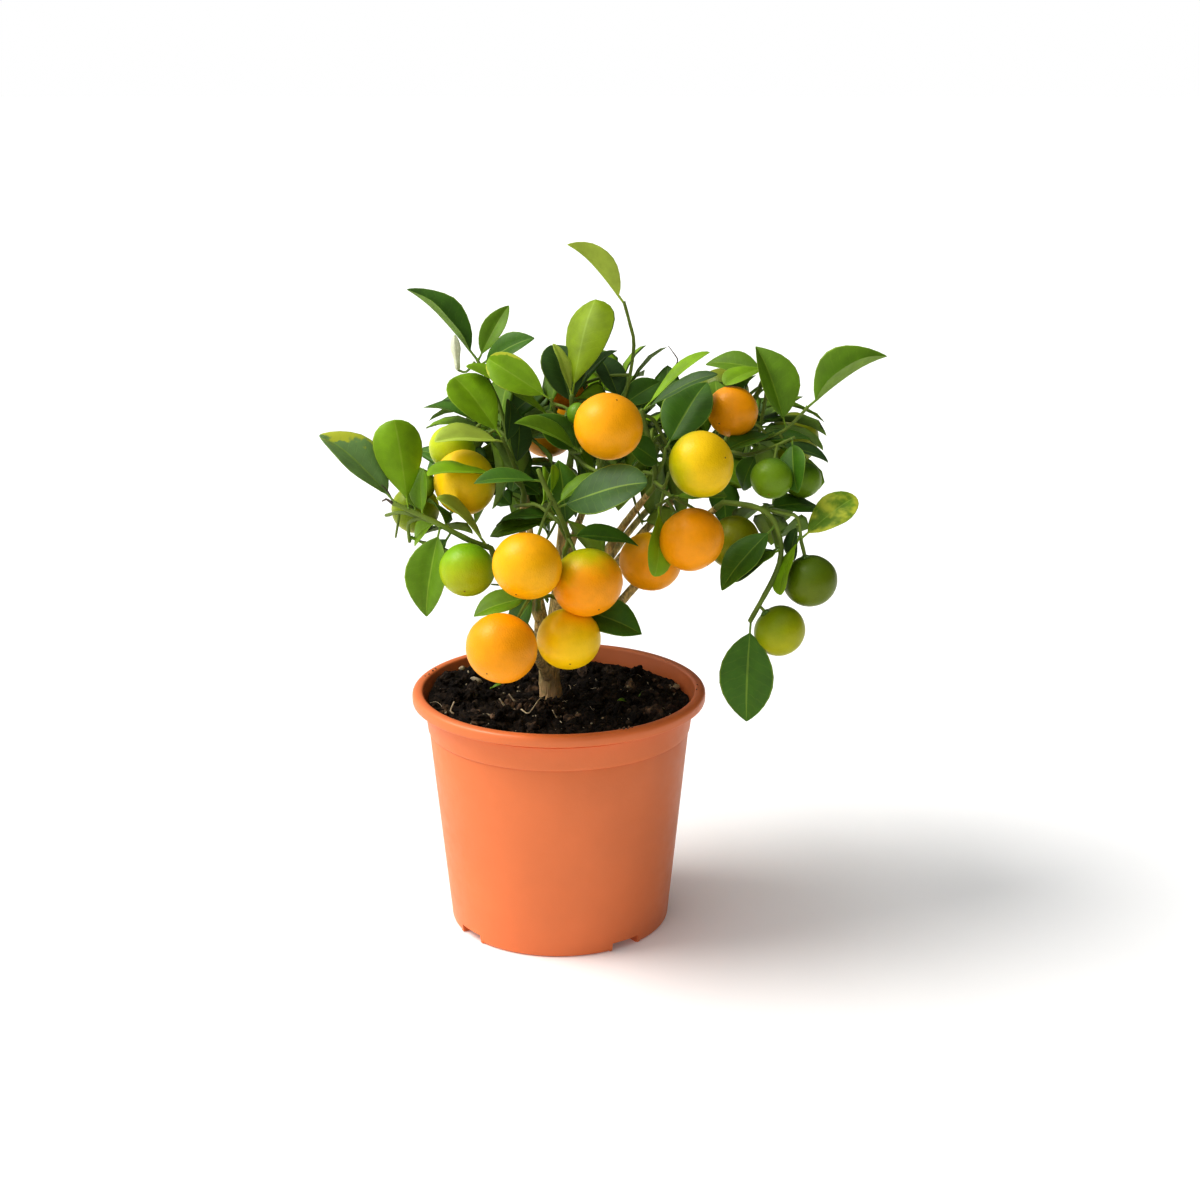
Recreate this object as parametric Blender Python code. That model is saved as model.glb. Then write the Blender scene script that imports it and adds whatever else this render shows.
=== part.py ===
"""A calamondin orange tree in its nursery pot, as one assembly of separate solids.

The pot stands on the origin: +Z is up, -Y is the side that is looked at, +X is its right.
A short trunk forks into boughs, and each bough ends in one mass of foliage: a stem whose
shoots carry leaves and fruit. What shows from the front is set out shoot by shoot. The heart
of each mass behind it is filled by a seeded rule, which skips what would touch its neighbours.
"""

import math
import random
from collections import namedtuple

import bmesh
import bpy
from mathutils import Matrix, Quaternion, Vector, noise
from mathutils.bvhtree import BVHTree

# All sizes below are in millimetres and degrees
MM = 0.001
GAP = 0.3

# Pot
POT_HEIGHT = 125.0
RIM_RADIUS = 75.0
RIM_HEIGHT = 5.7
RIM_LIP = 5.5
COLLAR_TOP_RADIUS = 69.2
COLLAR_FOOT_RADIUS = 67.3
COLLAR_FOOT_HEIGHT = 104.5
COLLAR_STEP = 0.6
FOOT_RADIUS = 56.5
FOOT_ROUND = 2.0
WALL = 1.8
FLOOR = 2.0
POT_SEGMENTS = 36
NOTCH_COUNT = 4
NOTCH_BEARING = 37.0
NOTCH_WIDTH = 26.0
NOTCH_HEIGHT = 4.5
NOTCH_SLOPE = 1.1
NOTCH_INNER_RADIUS = 45.0
POCKET_WALL = 1.5
DRAIN_RADIUS = 3.0

# Soil
SOIL_EDGE_HEIGHT = 118.6
SOIL_EDGE_RADIUS = 66.8
SOIL_MIDDLE_HEIGHT = 115.7
SOIL_DIP_RADIUS = 38.0
SOIL_FLAT_RADIUS = 16.0
SOIL_LUMP = 1.6
SOIL_LUMP_SIZE = 13.0
SOIL_SEGMENTS = 30
SOIL_RINGS = 5

# Trunk and boughs: the way each one goes, and its radius at its foot and its tip
Limb = namedtuple("Limb", "name grows_from way foot_radius tip_radius")
TRUNK_FOOT = (-4.4, 9.0, SOIL_MIDDLE_HEIGHT + GAP)
TRUNK_WAY = (TRUNK_FOOT, (-4.4, 9.0, 119), (-5.2, 8.6, 126), (-4.6, 7.4, 140), (-2.6, 6.2, 152), (-1.0, 5.5, 163))
TRUNK_RADII = (6.9, 5.9, 5.4, 5.2, 4.9, 4.6)
BOUGHS = (
    Limb("bough_leader", "trunk tip", ((-0.4, 5.2, 167), (1, 7, 190), (3, 9, 216), (6, 9, 240)), 3.0, 1.6),
    Limb("bough_left", "trunk", ((-4.6, 7.4, 136), (-17, -4, 158), (-25, -20, 184), (-31, -29, 203)), 2.9, 1.5),
    Limb("bough_upper_left", "trunk", ((-4, 7, 146), (-15, 11, 172), (-18, 3, 202), (-17, -3, 224)), 2.9, 1.5),
    Limb("bough_front", "trunk", ((-2.4, 6.1, 150), (-1, -12, 170), (3, -28, 188), (4, -37, 205)), 2.6, 1.4),
    Limb("bough_front_low", "trunk", ((-5, 8, 128), (-11, -13, 146), (-10, -34, 164), (-9, -45, 181)), 2.4, 1.3),
    Limb("bough_right", "trunk", ((-2.4, 6.1, 151), (15, 4, 180), (32, 10, 206), (46, -2, 228)), 2.8, 1.5),
    Limb("bough_far_right", "trunk", ((-4.4, 7.3, 137), (24, 6, 160), (56, 16, 194), (80, -4, 221)), 3.0, 1.5),
    Limb("bough_upper_right", "trunk", ((-3.6, 6.8, 144), (28, 24, 182), (58, 34, 214), (79, 29, 238)), 2.9, 1.5),
    Limb("bough_back_left", "trunk", ((-4.6, 7.4, 140), (-12, 28, 172), (-16, 42, 200), (-18, 48, 218)), 2.7, 1.4),
    Limb("bough_back", "trunk", ((-2.2, 6.1, 153), (3, 26, 182), (12, 44, 206), (20, 58, 224)), 2.7, 1.4),
    Limb("bough_back_right", "trunk", ((-5.0, 7.8, 133), (14, 34, 164), (38, 50, 196), (60, 58, 218)), 2.7, 1.4),
)
LIMB_SIDES_8 = 2
LIMB_SIDES_6 = 1
TWIG_SIDES_4 = 0
TWIG_STEP = 14.0
STEM_TIP_RADIUS = 1.1
SHOOT_FOOT_RADIUS = 1.2
SHOOT_TIP_RADIUS = 0.95
STALK_RADIUS = 0.95
LEAF_SINK = 1.3
STALK_FREE = 2

# Leaves: where the petiole ends, where the blade is widest, and how thick the midrib is
PETIOLE_SHARE = 0.13
PETIOLE_HALF_WIDTH = 0.65
WIDEST_SHARE = 0.52
ROUNDNESS = 0.72
SHOWN_STATIONS = (0.0, 0.38, 0.74)
HEART_STATIONS = (0.0, 0.52)
LEAF_THICKNESS = 1.0
CLEAR_SWELL = 0.7
SINK_SHARE = 0.16

# Fruit
FRUIT_SEGMENTS = 9
FRUIT_RINGS = 6
FRUIT_FLATNESS = 0.94
STALK_SINK = 2.5

# A leaf leaves its shoot at a share of the shoot's length. Its bearing is seen from above,
# counted from +X towards +Y, and its rise is above the horizon. Roll turns its upper face from
# upright towards the viewer, fold lifts its two halves, and arch bends its midrib by a share of
# its length.
Leaf = namedtuple("Leaf", "at bearing rise length width roll fold arch", defaults=(0.03,))
Shoot = namedtuple("Shoot", "at way leaves")
Fruit = namedtuple("Fruit", "centre diameter")
Mass = namedtuple("Mass", "name bough stem leaves shoots fruits heart fill_shoots fill_fruits seed")
Heart = namedtuple("Heart", "centre reach")

MASSES = (
    Mass(
        "foliage_left", "bough_left",
        ((-42, -33, 211), (-59, -32, 220), (-79, -30, 229)),
        (
            Leaf(1.0, 167, 43, 50, 28, 20, 22),
            Leaf(0.86, 127, 77, 44, 26, 20, -20),
            Leaf(0.72, 95, 66, 24, 15, 50, 15),
            Leaf(0.55, -125, -72, 45, 25, 4, 25),
            Leaf(0.44, 161, -61, 40, 20, 54, 20),
            Leaf(0.60, 128, -31, 24, 13, 60, 10),
            Leaf(0.10, -140, 52, 42, 20, 32, 15),
        ),
        (),
        (Fruit((-43, -46, 200), 27), Fruit((-71, -2, 219), 24)),
        Heart((-62, -10, 214), (44, 36, 34)), 2, 0, 11,
    ),
    Mass(
        "foliage_upper_left", "bough_upper_left",
        ((-20, -4, 238), (-25, 2, 255)),
        (),
        (
            Shoot(0.45, ((-24, -9, 250), (-27, -13, 258)), (
                Leaf(1.0, 155, 49, 39, 26, 34, 8),
                Leaf(0.75, 82, 54, 25, 14, 60, 15),
                Leaf(0.86, -148, 9, 38, 20, 22, 20),
                Leaf(0.10, 80, 69, 27, 17, 64, 10),
            )),
            Shoot(0.9, ((-30, 10, 272), (-40, 12, 292)), (
                Leaf(1.0, 167, 46, 50, 23, 18, 52),
                Leaf(0.97, 42, 53, 33, 13, 26, 25),
                Leaf(0.92, -18, 30, 32, 16, 50, 18),
            )),
            Shoot(0.2, ((-24, -16, 240), (-27, -31, 243)), (
                Leaf(1.0, -159, 7, 37, 20, 12, 15),
            )),
        ),
        (Fruit((-45, -20, 237), 32), Fruit((-53, 10, 247), 24)),
        Heart((-34, 24, 246), (42, 38, 42)), 5, 0, 24,
    ),
    Mass(
        "foliage_top", "bough_leader",
        ((7, 10, 252), (7, 8, 264), (7, 5, 275)),
        (
            Leaf(1.0, 66, 61, 53, 28, -4, -18),
            Leaf(0.98, 129, 63, 29, 10, -20, 15),
            Leaf(0.8, 118, 58, 35, 24, 14, 15),
        ),
        (
            Shoot(0.25, ((1, 0, 262), (-3, -7, 276)), (
                Leaf(0.42, -178, 36, 56, 14, 26, 20),
                Leaf(1.0, 163, 27, 40, 21, 36, 28),
            )),
            Shoot(0.14, ((10, -4, 248), (12, -15, 251)), (
                Leaf(1.0, -155, 29, 39, 20, 28, 20),
                Leaf(0.6, -165, 44, 29, 17, 62, 20),
            )),
            Shoot(0.12, ((24, 20, 254), (35, 26, 276), (38, 28, 296), (33, 26, 318)), (
                Leaf(1.0, -171, 49, 42, 20, -30, 55),
                Leaf(0.42, 123, 49, 29, 18, -2, 15),
                Leaf(0.40, 25, 27, 26, 15, 46, 15),
            )),
            Shoot(0.16, ((14, -14, 244), (20, -30, 245), (20, -38, 252)), ()),
        ),
        (Fruit((25, -45, 270), 33), Fruit((4, 46, 271), 23), Fruit((10, -10, 269), 11)),
        Heart((14, 30, 258), (44, 38, 40)), 4, 0, 33,
    ),
    Mass(
        "foliage_front", "bough_front",
        ((6, -42, 214), (2, -50, 228), (-5, -56, 244), (-8, -57, 252)),
        (
            Leaf(0.30, 120, 80, 34, 19, 2, 10),
            Leaf(0.58, -26, 22, 50, 28, 50, 6),
            Leaf(0.60, 28, 32, 28, 13, 0, 15),
            Leaf(0.72, 65, 70, 15, 7, 82, 10),
            Leaf(0.24, 17, -10, 37, 20, 18, 15),
            Leaf(0.88, -166, 4, 33, 16, 10, 18),
        ),
        (),
        (Fruit((-13, -75, 210), 33), Fruit((15, -61, 198), 34)),
        Heart((-4, -22, 222), (38, 30, 30)), 3, 0, 44,
    ),
    Mass(
        "foliage_front_low", "bough_front_low",
        ((-9, -52, 189), (-12, -62, 191)),
        (
            Leaf(1.0, -166, -13, 29, 18, 24, 15),
            Leaf(0.6, 148, -56, 27, 16, 68, 12),
        ),
        (
            Shoot(0.3, ((-3, -46, 187), (5, -44, 181)), (
                Leaf(1.0, -13, -16, 40, 23, 34, 15),
            )),
        ),
        (Fruit((-25, -85, 173), 34), Fruit((6, -58, 169), 31)),
        Heart((-18, -34, 190), (26, 24, 20)), 2, 0, 55,
    ),
    Mass(
        "foliage_right", "bough_right",
        ((48, -11, 241), (45, -13, 256), (41, -15, 272)),
        (
            Leaf(0.97, 22, 40, 45, 13, 2, 15),
            Leaf(1.0, -14, 31, 42, 12, 22, 15),
        ),
        (
            Shoot(0.2, ((52, -14, 246), (53, -14, 253)), (
                Leaf(1.0, 47, 45, 43, 26, 24, 10),
                Leaf(0.5, -150, 36, 25, 16, 58, 12),
            )),
            Shoot(0.16, ((52, -26, 236), (54, -34, 245)), ()),
            Shoot(0.12, ((56, -22, 230), (55, -32, 232), (48, -36, 229)), (
                Leaf(1.0, -93, -63, 35, 16, 42, 12),
                Leaf(0.5, -30, 10, 30, 15, 14, 12),
            )),
        ),
        (Fruit((69, -46, 252), 32), Fruit((65, -42, 214), 32), Fruit((46, -13, 195), 31), Fruit((88, -2, 202), 27)),
        Heart((48, 20, 236), (40, 36, 40)), 4, 0, 66,
    ),
    Mass(
        "foliage_upper_right", "bough_upper_right",
        ((88, 31, 252), (100, 30, 270), (106, 24, 287)),
        (
            Leaf(0.94, 163, 5, 32, 17, 32, 15),
            Leaf(1.0, -146, -11, 28, 15, 14, 15),
        ),
        (
            Shoot(0.14, ((100, 14, 250), (113, 8, 257), (124, 6, 269)), (
                Leaf(1.0, 10, 34, 48, 32, 10, 50),
                Leaf(0.72, 139, 65, 44, 28, 24, 36),
                Leaf(0.28, -16, 9, 33, 14, 16, 15),
                Leaf(0.60, -149, -8, 31, 16, 8, 15),
            )),
            Shoot(0.10, ((96, 10, 244), (106, 0, 250), (117, -4, 256)), (
                Leaf(0.8, 17, -18, 30, 14, 20, 15),
                Leaf(1.0, -87, -54, 29, 18, 40, 12),
                Leaf(0.55, 133, -64, 24, 15, 90, 12),
            )),
        ),
        (Fruit((87, 10, 266), 26), Fruit((105, -16, 238), 21), Fruit((123, 10, 231), 19)),
        Heart((98, 38, 250), (44, 38, 38)), 4, 0, 77,
    ),
    Mass(
        "foliage_right_hanging", "bough_far_right",
        ((98, -19, 224), (106, -21, 218), (110, -22, 205), (108, -24, 193), (95, -27, 168)),
        (
            Leaf(0.30, 40, -60, 24, 15, 20, 12),
            Leaf(0.42, -158, -44, 41, 21, 22, 12),
            Leaf(0.56, -154, -18, 23, 13, 2, 12),
            Leaf(0.54, 165, -37, 31, 15, 26, 12),
            Leaf(1.0, -113, -85, 53, 28, 2, 10),
        ),
        (
            Shoot(0.2, ((112, -19, 221), (118, -20, 219), (120, -20, 207)), (
                Leaf(0.6, -155, 38, 46, 13, 40, 12),
                Leaf(0.75, 123, -74, 21, 12, 84, 12),
                Leaf(1.0, 18, 35, 35, 19, 34, 8),
                Leaf(0.92, -136, -59, 31, 15, -20, 12),
            )),
        ),
        (Fruit((125, -20, 187), 27), Fruit((110, -26, 163), 26)),
        Heart((106, 4, 212), (32, 30, 30)), 2, 0, 88,
    ),
    Mass(
        "foliage_back_left", "bough_back_left",
        ((-20, 54, 232), (-24, 60, 246)),
        (), (), (),
        Heart((-24, 64, 232), (54, 44, 48)), 7, 2, 108,
    ),
    Mass(
        "foliage_back", "bough_back",
        ((26, 68, 238), (34, 80, 254)),
        (), (), (),
        Heart((36, 88, 242), (50, 42, 50)), 8, 2, 111,
    ),
    Mass(
        "foliage_back_right", "bough_back_right",
        ((72, 62, 230), (84, 68, 244)),
        (), (), (),
        Heart((92, 72, 234), (54, 44, 48)), 6, 2, 122,
    ),
)
# A shown leaf that touches a neighbour is turned and shrunk a little: size, then roll, bearing and rise
SHOWN_TURNS = (
    (1.0, (0, 0, 0)), (1.0, (14, 0, 0)), (1.0, (-14, 0, 0)), (0.97, (0, 5, 0)), (0.97, (0, -5, 0)),
    (0.97, (0, 0, 5)), (0.97, (0, 0, -5)), (0.94, (28, 4, 4)), (0.94, (-28, -4, -4)), (0.9, (10, 8, 0)),
    (0.9, (10, -8, 0)), (0.85, (0, 10, 8)), (0.85, (0, -10, -8)), (0.75, (0, 0, 0)),
)
# The seeded rule's ranges
FILL_SHELL = (0.15, 0.60)
FILL_LEAVES = 6
FILL_TRIES = 8
FILL_TURN = 137.5
FILL_SPREAD = (40, 72)
FILL_LIFT = 0.18
FILL_LENGTH = (32, 44)
FILL_SLENDERNESS = (0.46, 0.56)
FILL_ROLL = (-25, 25)
FILL_FOLD = (6, 26)
FILL_ARCH = (0.02, 0.10)
FILL_FRUIT_DIAMETER = (23, 31)
FILL_FRUIT_SHELL = (0.6, 0.9)
FILL_FRUIT_TRIES = 30

# Colours, as linear red, green and blue
POT_COLOUR = (0.76, 0.21, 0.07)
SOIL_COLOUR = (0.018, 0.012, 0.009)
BARK_COLOUR = (0.12, 0.09, 0.05)
LEAF_COLOUR = (0.07, 0.17, 0.02)


def heading(bearing, rise):
    """The unit vector that points along a bearing and a rise."""
    b, r = math.radians(bearing), math.radians(rise)
    return Vector((math.cos(b) * math.cos(r), math.sin(b) * math.cos(r), math.sin(r)))


class Blade:
    """One leaf in place: a foot on its twig, a midrib that arches, and two folded halves."""

    def __init__(self, foot, along, length, width, roll, fold, arch, stations):
        self.foot = foot
        self.along = along.normalized()
        self.length = length
        self.half = width / 2
        upright = Vector((0, 0, 1)) - self.along * self.along.z
        towards = math.copysign(1, self.along.x)
        self.up = Quaternion(self.along, math.radians(roll * towards)) @ upright.normalized()
        self.side = self.along.cross(self.up)
        self.fold = math.radians(fold)
        self.arch = arch
        self.stations = stations

    def half_width(self, u):
        """Half the leaf's width at a share u of its length."""
        if u <= PETIOLE_SHARE:
            return PETIOLE_HALF_WIDTH
        t = (u - PETIOLE_SHARE) / (1 - PETIOLE_SHARE)
        tail = ROUNDNESS * (1 - WIDEST_SHARE) / WIDEST_SHARE
        shape = (t / WIDEST_SHARE) ** ROUNDNESS * ((1 - t) / (1 - WIDEST_SHARE)) ** tail
        return max(PETIOLE_HALF_WIDTH, self.half * shape)

    def midrib(self, u):
        """The point of the midrib at a share u of the leaf's length."""
        return self.foot + self.length * (self.along * u + self.up * self.arch * 4 * u * (1 - u))

    def edge(self, u, hand, swell=0.0):
        """The point of the leaf's margin, on the hand +1 or -1."""
        reach = self.half_width(u) + swell
        return self.midrib(u) + reach * (self.side * hand * math.cos(self.fold) + self.up * math.sin(self.fold))


def leaf_solid(blade, swell=0.0, first=0.0):
    """The leaf as a closed lens, from a ball of four meridians drawn out along the midrib."""
    bm = bmesh.new()
    rings = len(blade.stations) + 1
    bmesh.ops.create_uvsphere(bm, u_segments=4, v_segments=rings, radius=1)
    half_thick = LEAF_THICKNESS / 2 + swell
    foot = None
    for vert in bm.verts:
        place = vert.co.copy()
        ring = round(math.acos(max(-1, min(1, -place.z))) / math.pi * rings)
        if ring == rings:
            vert.co = blade.midrib(1.0)
        elif ring == 0:
            foot = vert
        elif abs(place.x) > abs(place.y):
            vert.co = blade.edge(max(blade.stations[ring - 1], first), math.copysign(1, place.x), swell)
        else:
            u = max(blade.stations[ring - 1], first)
            vert.co = blade.midrib(u) + blade.up * math.copysign(half_thick, -place.y)
    bmesh.ops.dissolve_verts(bm, verts=[foot])
    return bm


def fruit_solid(fruit, swell=0.0):
    """The fruit as a ball a little flattened from top to bottom."""
    bm = bmesh.new()
    radius = fruit.diameter / 2 + swell
    bmesh.ops.create_uvsphere(bm, u_segments=FRUIT_SEGMENTS, v_segments=FRUIT_RINGS, radius=radius)
    bmesh.ops.scale(bm, vec=(1, 1, FRUIT_FLATNESS), verts=bm.verts)
    bmesh.ops.translate(bm, vec=fruit.centre, verts=bm.verts)
    return bm


def smooth_way(points, step=TWIG_STEP):
    """Points about a step apart on a smooth curve through the given points."""
    points = [Vector(p) for p in points]
    ends = [2 * points[0] - points[1], *points, 2 * points[-1] - points[-2]]
    made = []
    for before, a, b, after in zip(ends, ends[1:], ends[2:], ends[3:]):
        count = max(1, round((b - a).length / step))
        for k in range(count):
            t = k / count
            made.append(
                0.5 * ((2 * a) + (b - before) * t + (2 * before - 5 * a + 4 * b - after) * t * t
                       + (3 * a - before - 3 * b + after) * t ** 3)
            )
    return [*made, points[-1]]


def along_way(way, share):
    """The point at a share of a way's length, short of its tip, and the way's heading there."""
    lengths = [(b - a).length for a, b in zip(way, way[1:])]
    left = min(share * sum(lengths), sum(lengths) - LEAF_SINK)
    for a, b, length in zip(way, way[1:], lengths):
        if left <= length:
            return a.lerp(b, left / length), (b - a).normalized()
        left -= length
    return way[-1].copy(), (way[-1] - way[-2]).normalized()


def taper(way, first, last):
    """A radius for each point of a way, from its foot to its tip."""
    return [first + (last - first) * k / (len(way) - 1) for k in range(len(way))]


def tube_mesh(name, way, radii, bevel_resolution):
    """A closed tube round a way in millimetres, as a mesh with its caps welded."""
    curve = bpy.data.curves.new(name, "CURVE")
    curve.dimensions = "3D"
    curve.bevel_depth = 1.0
    curve.bevel_resolution = bevel_resolution
    curve.use_fill_caps = True
    spline = curve.splines.new("POLY")
    spline.points.add(len(way) - 1)
    for point, place, radius in zip(spline.points, way, radii):
        point.co = (*place, 1)
        point.radius = radius
    tube = bpy.data.objects.new(name, curve)
    bpy.context.scene.collection.objects.link(tube)
    graph = bpy.context.evaluated_depsgraph_get()
    mesh = bpy.data.meshes.new_from_object(tube.evaluated_get(graph))
    bpy.data.objects.remove(tube)
    bpy.data.curves.remove(curve)
    bm = bmesh.new()
    bm.from_mesh(mesh)
    bmesh.ops.remove_doubles(bm, verts=bm.verts, dist=0.001)
    bmesh.ops.recalc_face_normals(bm, faces=bm.faces)
    bm.to_mesh(mesh)
    bm.free()
    return mesh


def mesh_of(bm, name):
    """A mesh data-block made from a bmesh, which is then freed."""
    mesh = bpy.data.meshes.new(name)
    bmesh.ops.recalc_face_normals(bm, faces=bm.faces)
    bm.to_mesh(mesh)
    bm.free()
    return mesh


class Surface:
    """Faces that later pieces must keep clear of, with a search tree over them."""

    def __init__(self):
        self.points, self.faces, self.tree = [], [], None

    def add(self, mesh):
        start = len(self.points)
        self.points += [v.co.copy() for v in mesh.vertices]
        self.faces += [[start + i for i in face.vertices] for face in mesh.polygons]
        self.tree = None

    def meets(self, tree):
        if not self.faces:
            return False
        if self.tree is None:
            self.tree = BVHTree.FromPolygons(self.points, self.faces)
        return bool(self.tree.overlap(tree))


def tree_of(bm):
    """The search tree of a bmesh, which is then freed."""
    tree = BVHTree.FromBMesh(bm)
    bm.free()
    return tree


def mesh_tree(mesh):
    """The search tree of a mesh, which is then removed."""
    tree = BVHTree.FromPolygons([v.co for v in mesh.vertices], [list(f.vertices) for f in mesh.polygons])
    bpy.data.meshes.remove(mesh)
    return tree


class Crown:
    """Every mass as it grows: the meshes of its wood, leaves and fruit, and what they must clear."""

    def __init__(self, limb_meshes):
        self.limbs = Surface()
        for mesh in limb_meshes:
            self.limbs.add(mesh)
        self.wood = {mass.name: Surface() for mass in MASSES}
        self.green = {mass.name: Surface() for mass in MASSES}
        self.ways = {mass.name: [] for mass in MASSES}
        self.blades = {mass.name: [] for mass in MASSES}
        self.fruits = {mass.name: [] for mass in MASSES}
        self.meshes = {mass.name: [] for mass in MASSES}

    def met(self, mass, tree):
        """Whether a shape meets a limb or another mass."""
        if self.limbs.meets(tree):
            return True
        others = [name for name in self.wood if name != mass.name]
        return any(self.wood[name].meets(tree) or self.green[name].meets(tree) for name in others)

    def own_met(self, mass, tree):
        return self.green[mass.name].meets(tree) or self.wood[mass.name].meets(tree)

    def add_stem(self, mass, way, radii):
        mesh = tube_mesh(mass.name, way, radii, TWIG_SIDES_4)
        self.wood[mass.name].add(mesh)
        self.meshes[mass.name].append(mesh)
        self.ways[mass.name].append((way, radii))

    def add_twig(self, mass, way, radii):
        """Adds a twig unless it would touch what it must clear, and says whether it did."""
        swollen = [r + CLEAR_SWELL for r in radii]
        free = mesh_tree(tube_mesh("probe", way[1:], swollen[1:], TWIG_SIDES_4)) if len(way) > 2 else None
        if free and self.own_met(mass, free):
            return False
        if self.met(mass, mesh_tree(tube_mesh("probe", way, swollen, TWIG_SIDES_4))):
            return False
        self.add_stem(mass, way, radii)
        return True

    def add_leaf(self, mass, blade, alone=True):
        """Adds a leaf unless it would touch what it must clear, and says whether it did."""
        if alone and self.own_met(mass, tree_of(leaf_solid(blade, CLEAR_SWELL / 2, SINK_SHARE))):
            return False
        if self.met(mass, tree_of(leaf_solid(blade, CLEAR_SWELL))):
            return False
        mesh = mesh_of(leaf_solid(blade), mass.name)
        self.green[mass.name].add(mesh)
        self.meshes[mass.name].append(mesh)
        self.blades[mass.name].append(blade)
        return True

    def add_fruit(self, mass, fruit):
        """Adds a fruit and its stalk unless one would touch what it must clear."""
        tree = tree_of(fruit_solid(fruit, CLEAR_SWELL))
        if self.own_met(mass, tree) or self.met(mass, tree):
            return False
        way = self.stalk_way(mass, fruit)
        if not self.add_twig(mass, way, [STALK_RADIUS] * len(way)):
            return False
        mesh = mesh_of(fruit_solid(fruit), mass.name)
        self.green[mass.name].add(mesh)
        self.meshes[mass.name].append(mesh)
        self.fruits[mass.name].append((fruit, way))
        return True

    def stalk_way(self, mass, fruit):
        """The way of a fruit's stalk, from the nearest wood of its mass to just inside the fruit."""
        centre = Vector(fruit.centre)
        wood = [point for way, _ in self.ways[mass.name] for point in smooth_way(way, 3.0)[STALK_FREE:]]
        start = min(wood, key=lambda p: (p - centre).length - 0.35 * (p.z - centre.z))
        out = (start - centre).normalized()
        inside = centre + out * (fruit.diameter / 2 * FRUIT_FLATNESS - STALK_SINK)
        return [start, start.lerp(inside, 0.5) + Vector((0, 0, 0.06 * (inside - start).length)), inside]


def past(way, distance):
    """The point a distance beyond a way's tip."""
    return way[-1] + (way[-1] - way[-2]).normalized() * distance


def bough_way(bough):
    """The way of a bough: from inside the trunk, or from a gap past the trunk's tip."""
    if bough.grows_from == "trunk":
        return smooth_way(bough.way)
    trunk_way = [Vector(p) for p in TRUNK_WAY]
    return [past(trunk_way, GAP), past(trunk_way, 3.0), *smooth_way(bough.way)[1:]]


def bough_of(mass):
    """The bough that carries a mass."""
    return next(bough for bough in BOUGHS if bough.name == mass.bough)


def stem_way(mass):
    """The way of a mass's stem: it starts a gap past its bough's tip and goes on along the bough."""
    way = bough_way(bough_of(mass))
    return [past(way, GAP), *smooth_way([past(way, 4.0), *mass.stem])]


def grow_shown(crown):
    """The stems, shoots, fruit and leaves that are set out one by one."""
    for mass in MASSES:
        stem = stem_way(mass)
        crown.add_stem(mass, stem, taper(stem, bough_of(mass).tip_radius, STEM_TIP_RADIUS))
        for shoot in mass.shoots:
            way = smooth_way([along_way(stem, shoot.at)[0], *shoot.way])
            crown.add_twig(mass, way, taper(way, SHOOT_FOOT_RADIUS, SHOOT_TIP_RADIUS))
    for mass in MASSES:
        for fruit in mass.fruits:
            crown.add_fruit(mass, fruit)
    for mass in MASSES:
        stem = stem_way(mass)
        ways = [stem] + [smooth_way([along_way(stem, s.at)[0], *s.way]) for s in mass.shoots]
        for way, leaves in zip(ways, [mass.leaves] + [s.leaves for s in mass.shoots]):
            for leaf in leaves:
                any(crown.add_leaf(mass, turned, False) for turned in shown_blades(way, leaf))


def shown_blades(way, leaf):
    """A leaf as it is set out, then turned a little further each time, until it clears its neighbours."""
    foot, _ = along_way(way, leaf.at)
    for size, (roll, bearing, rise) in SHOWN_TURNS:
        yield Blade(
            foot, heading(leaf.bearing + bearing, leaf.rise + rise), leaf.length * size, leaf.width * size,
            leaf.roll + roll, leaf.fold, leaf.arch, SHOWN_STATIONS
        )


def point_in_heart(heart, draw, inner, outer):
    """A drawn point of a mass's heart, between two shares of its reach."""
    bearing, height = draw.uniform(0, 360), draw.uniform(-1, 1)
    share = draw.uniform(inner, outer)
    flat = math.sqrt(1 - height * height)
    unit = Vector((math.cos(math.radians(bearing)) * flat, math.sin(math.radians(bearing)) * flat, height))
    return Vector(heart.centre) + Vector(a * b for a, b in zip(unit * share, heart.reach))


def inside_heart(heart, point):
    """Whether a point lies inside a mass's own space."""
    return sum(((p - c) / r) ** 2 for p, c, r in zip(point, heart.centre, heart.reach)) < 1


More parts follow.
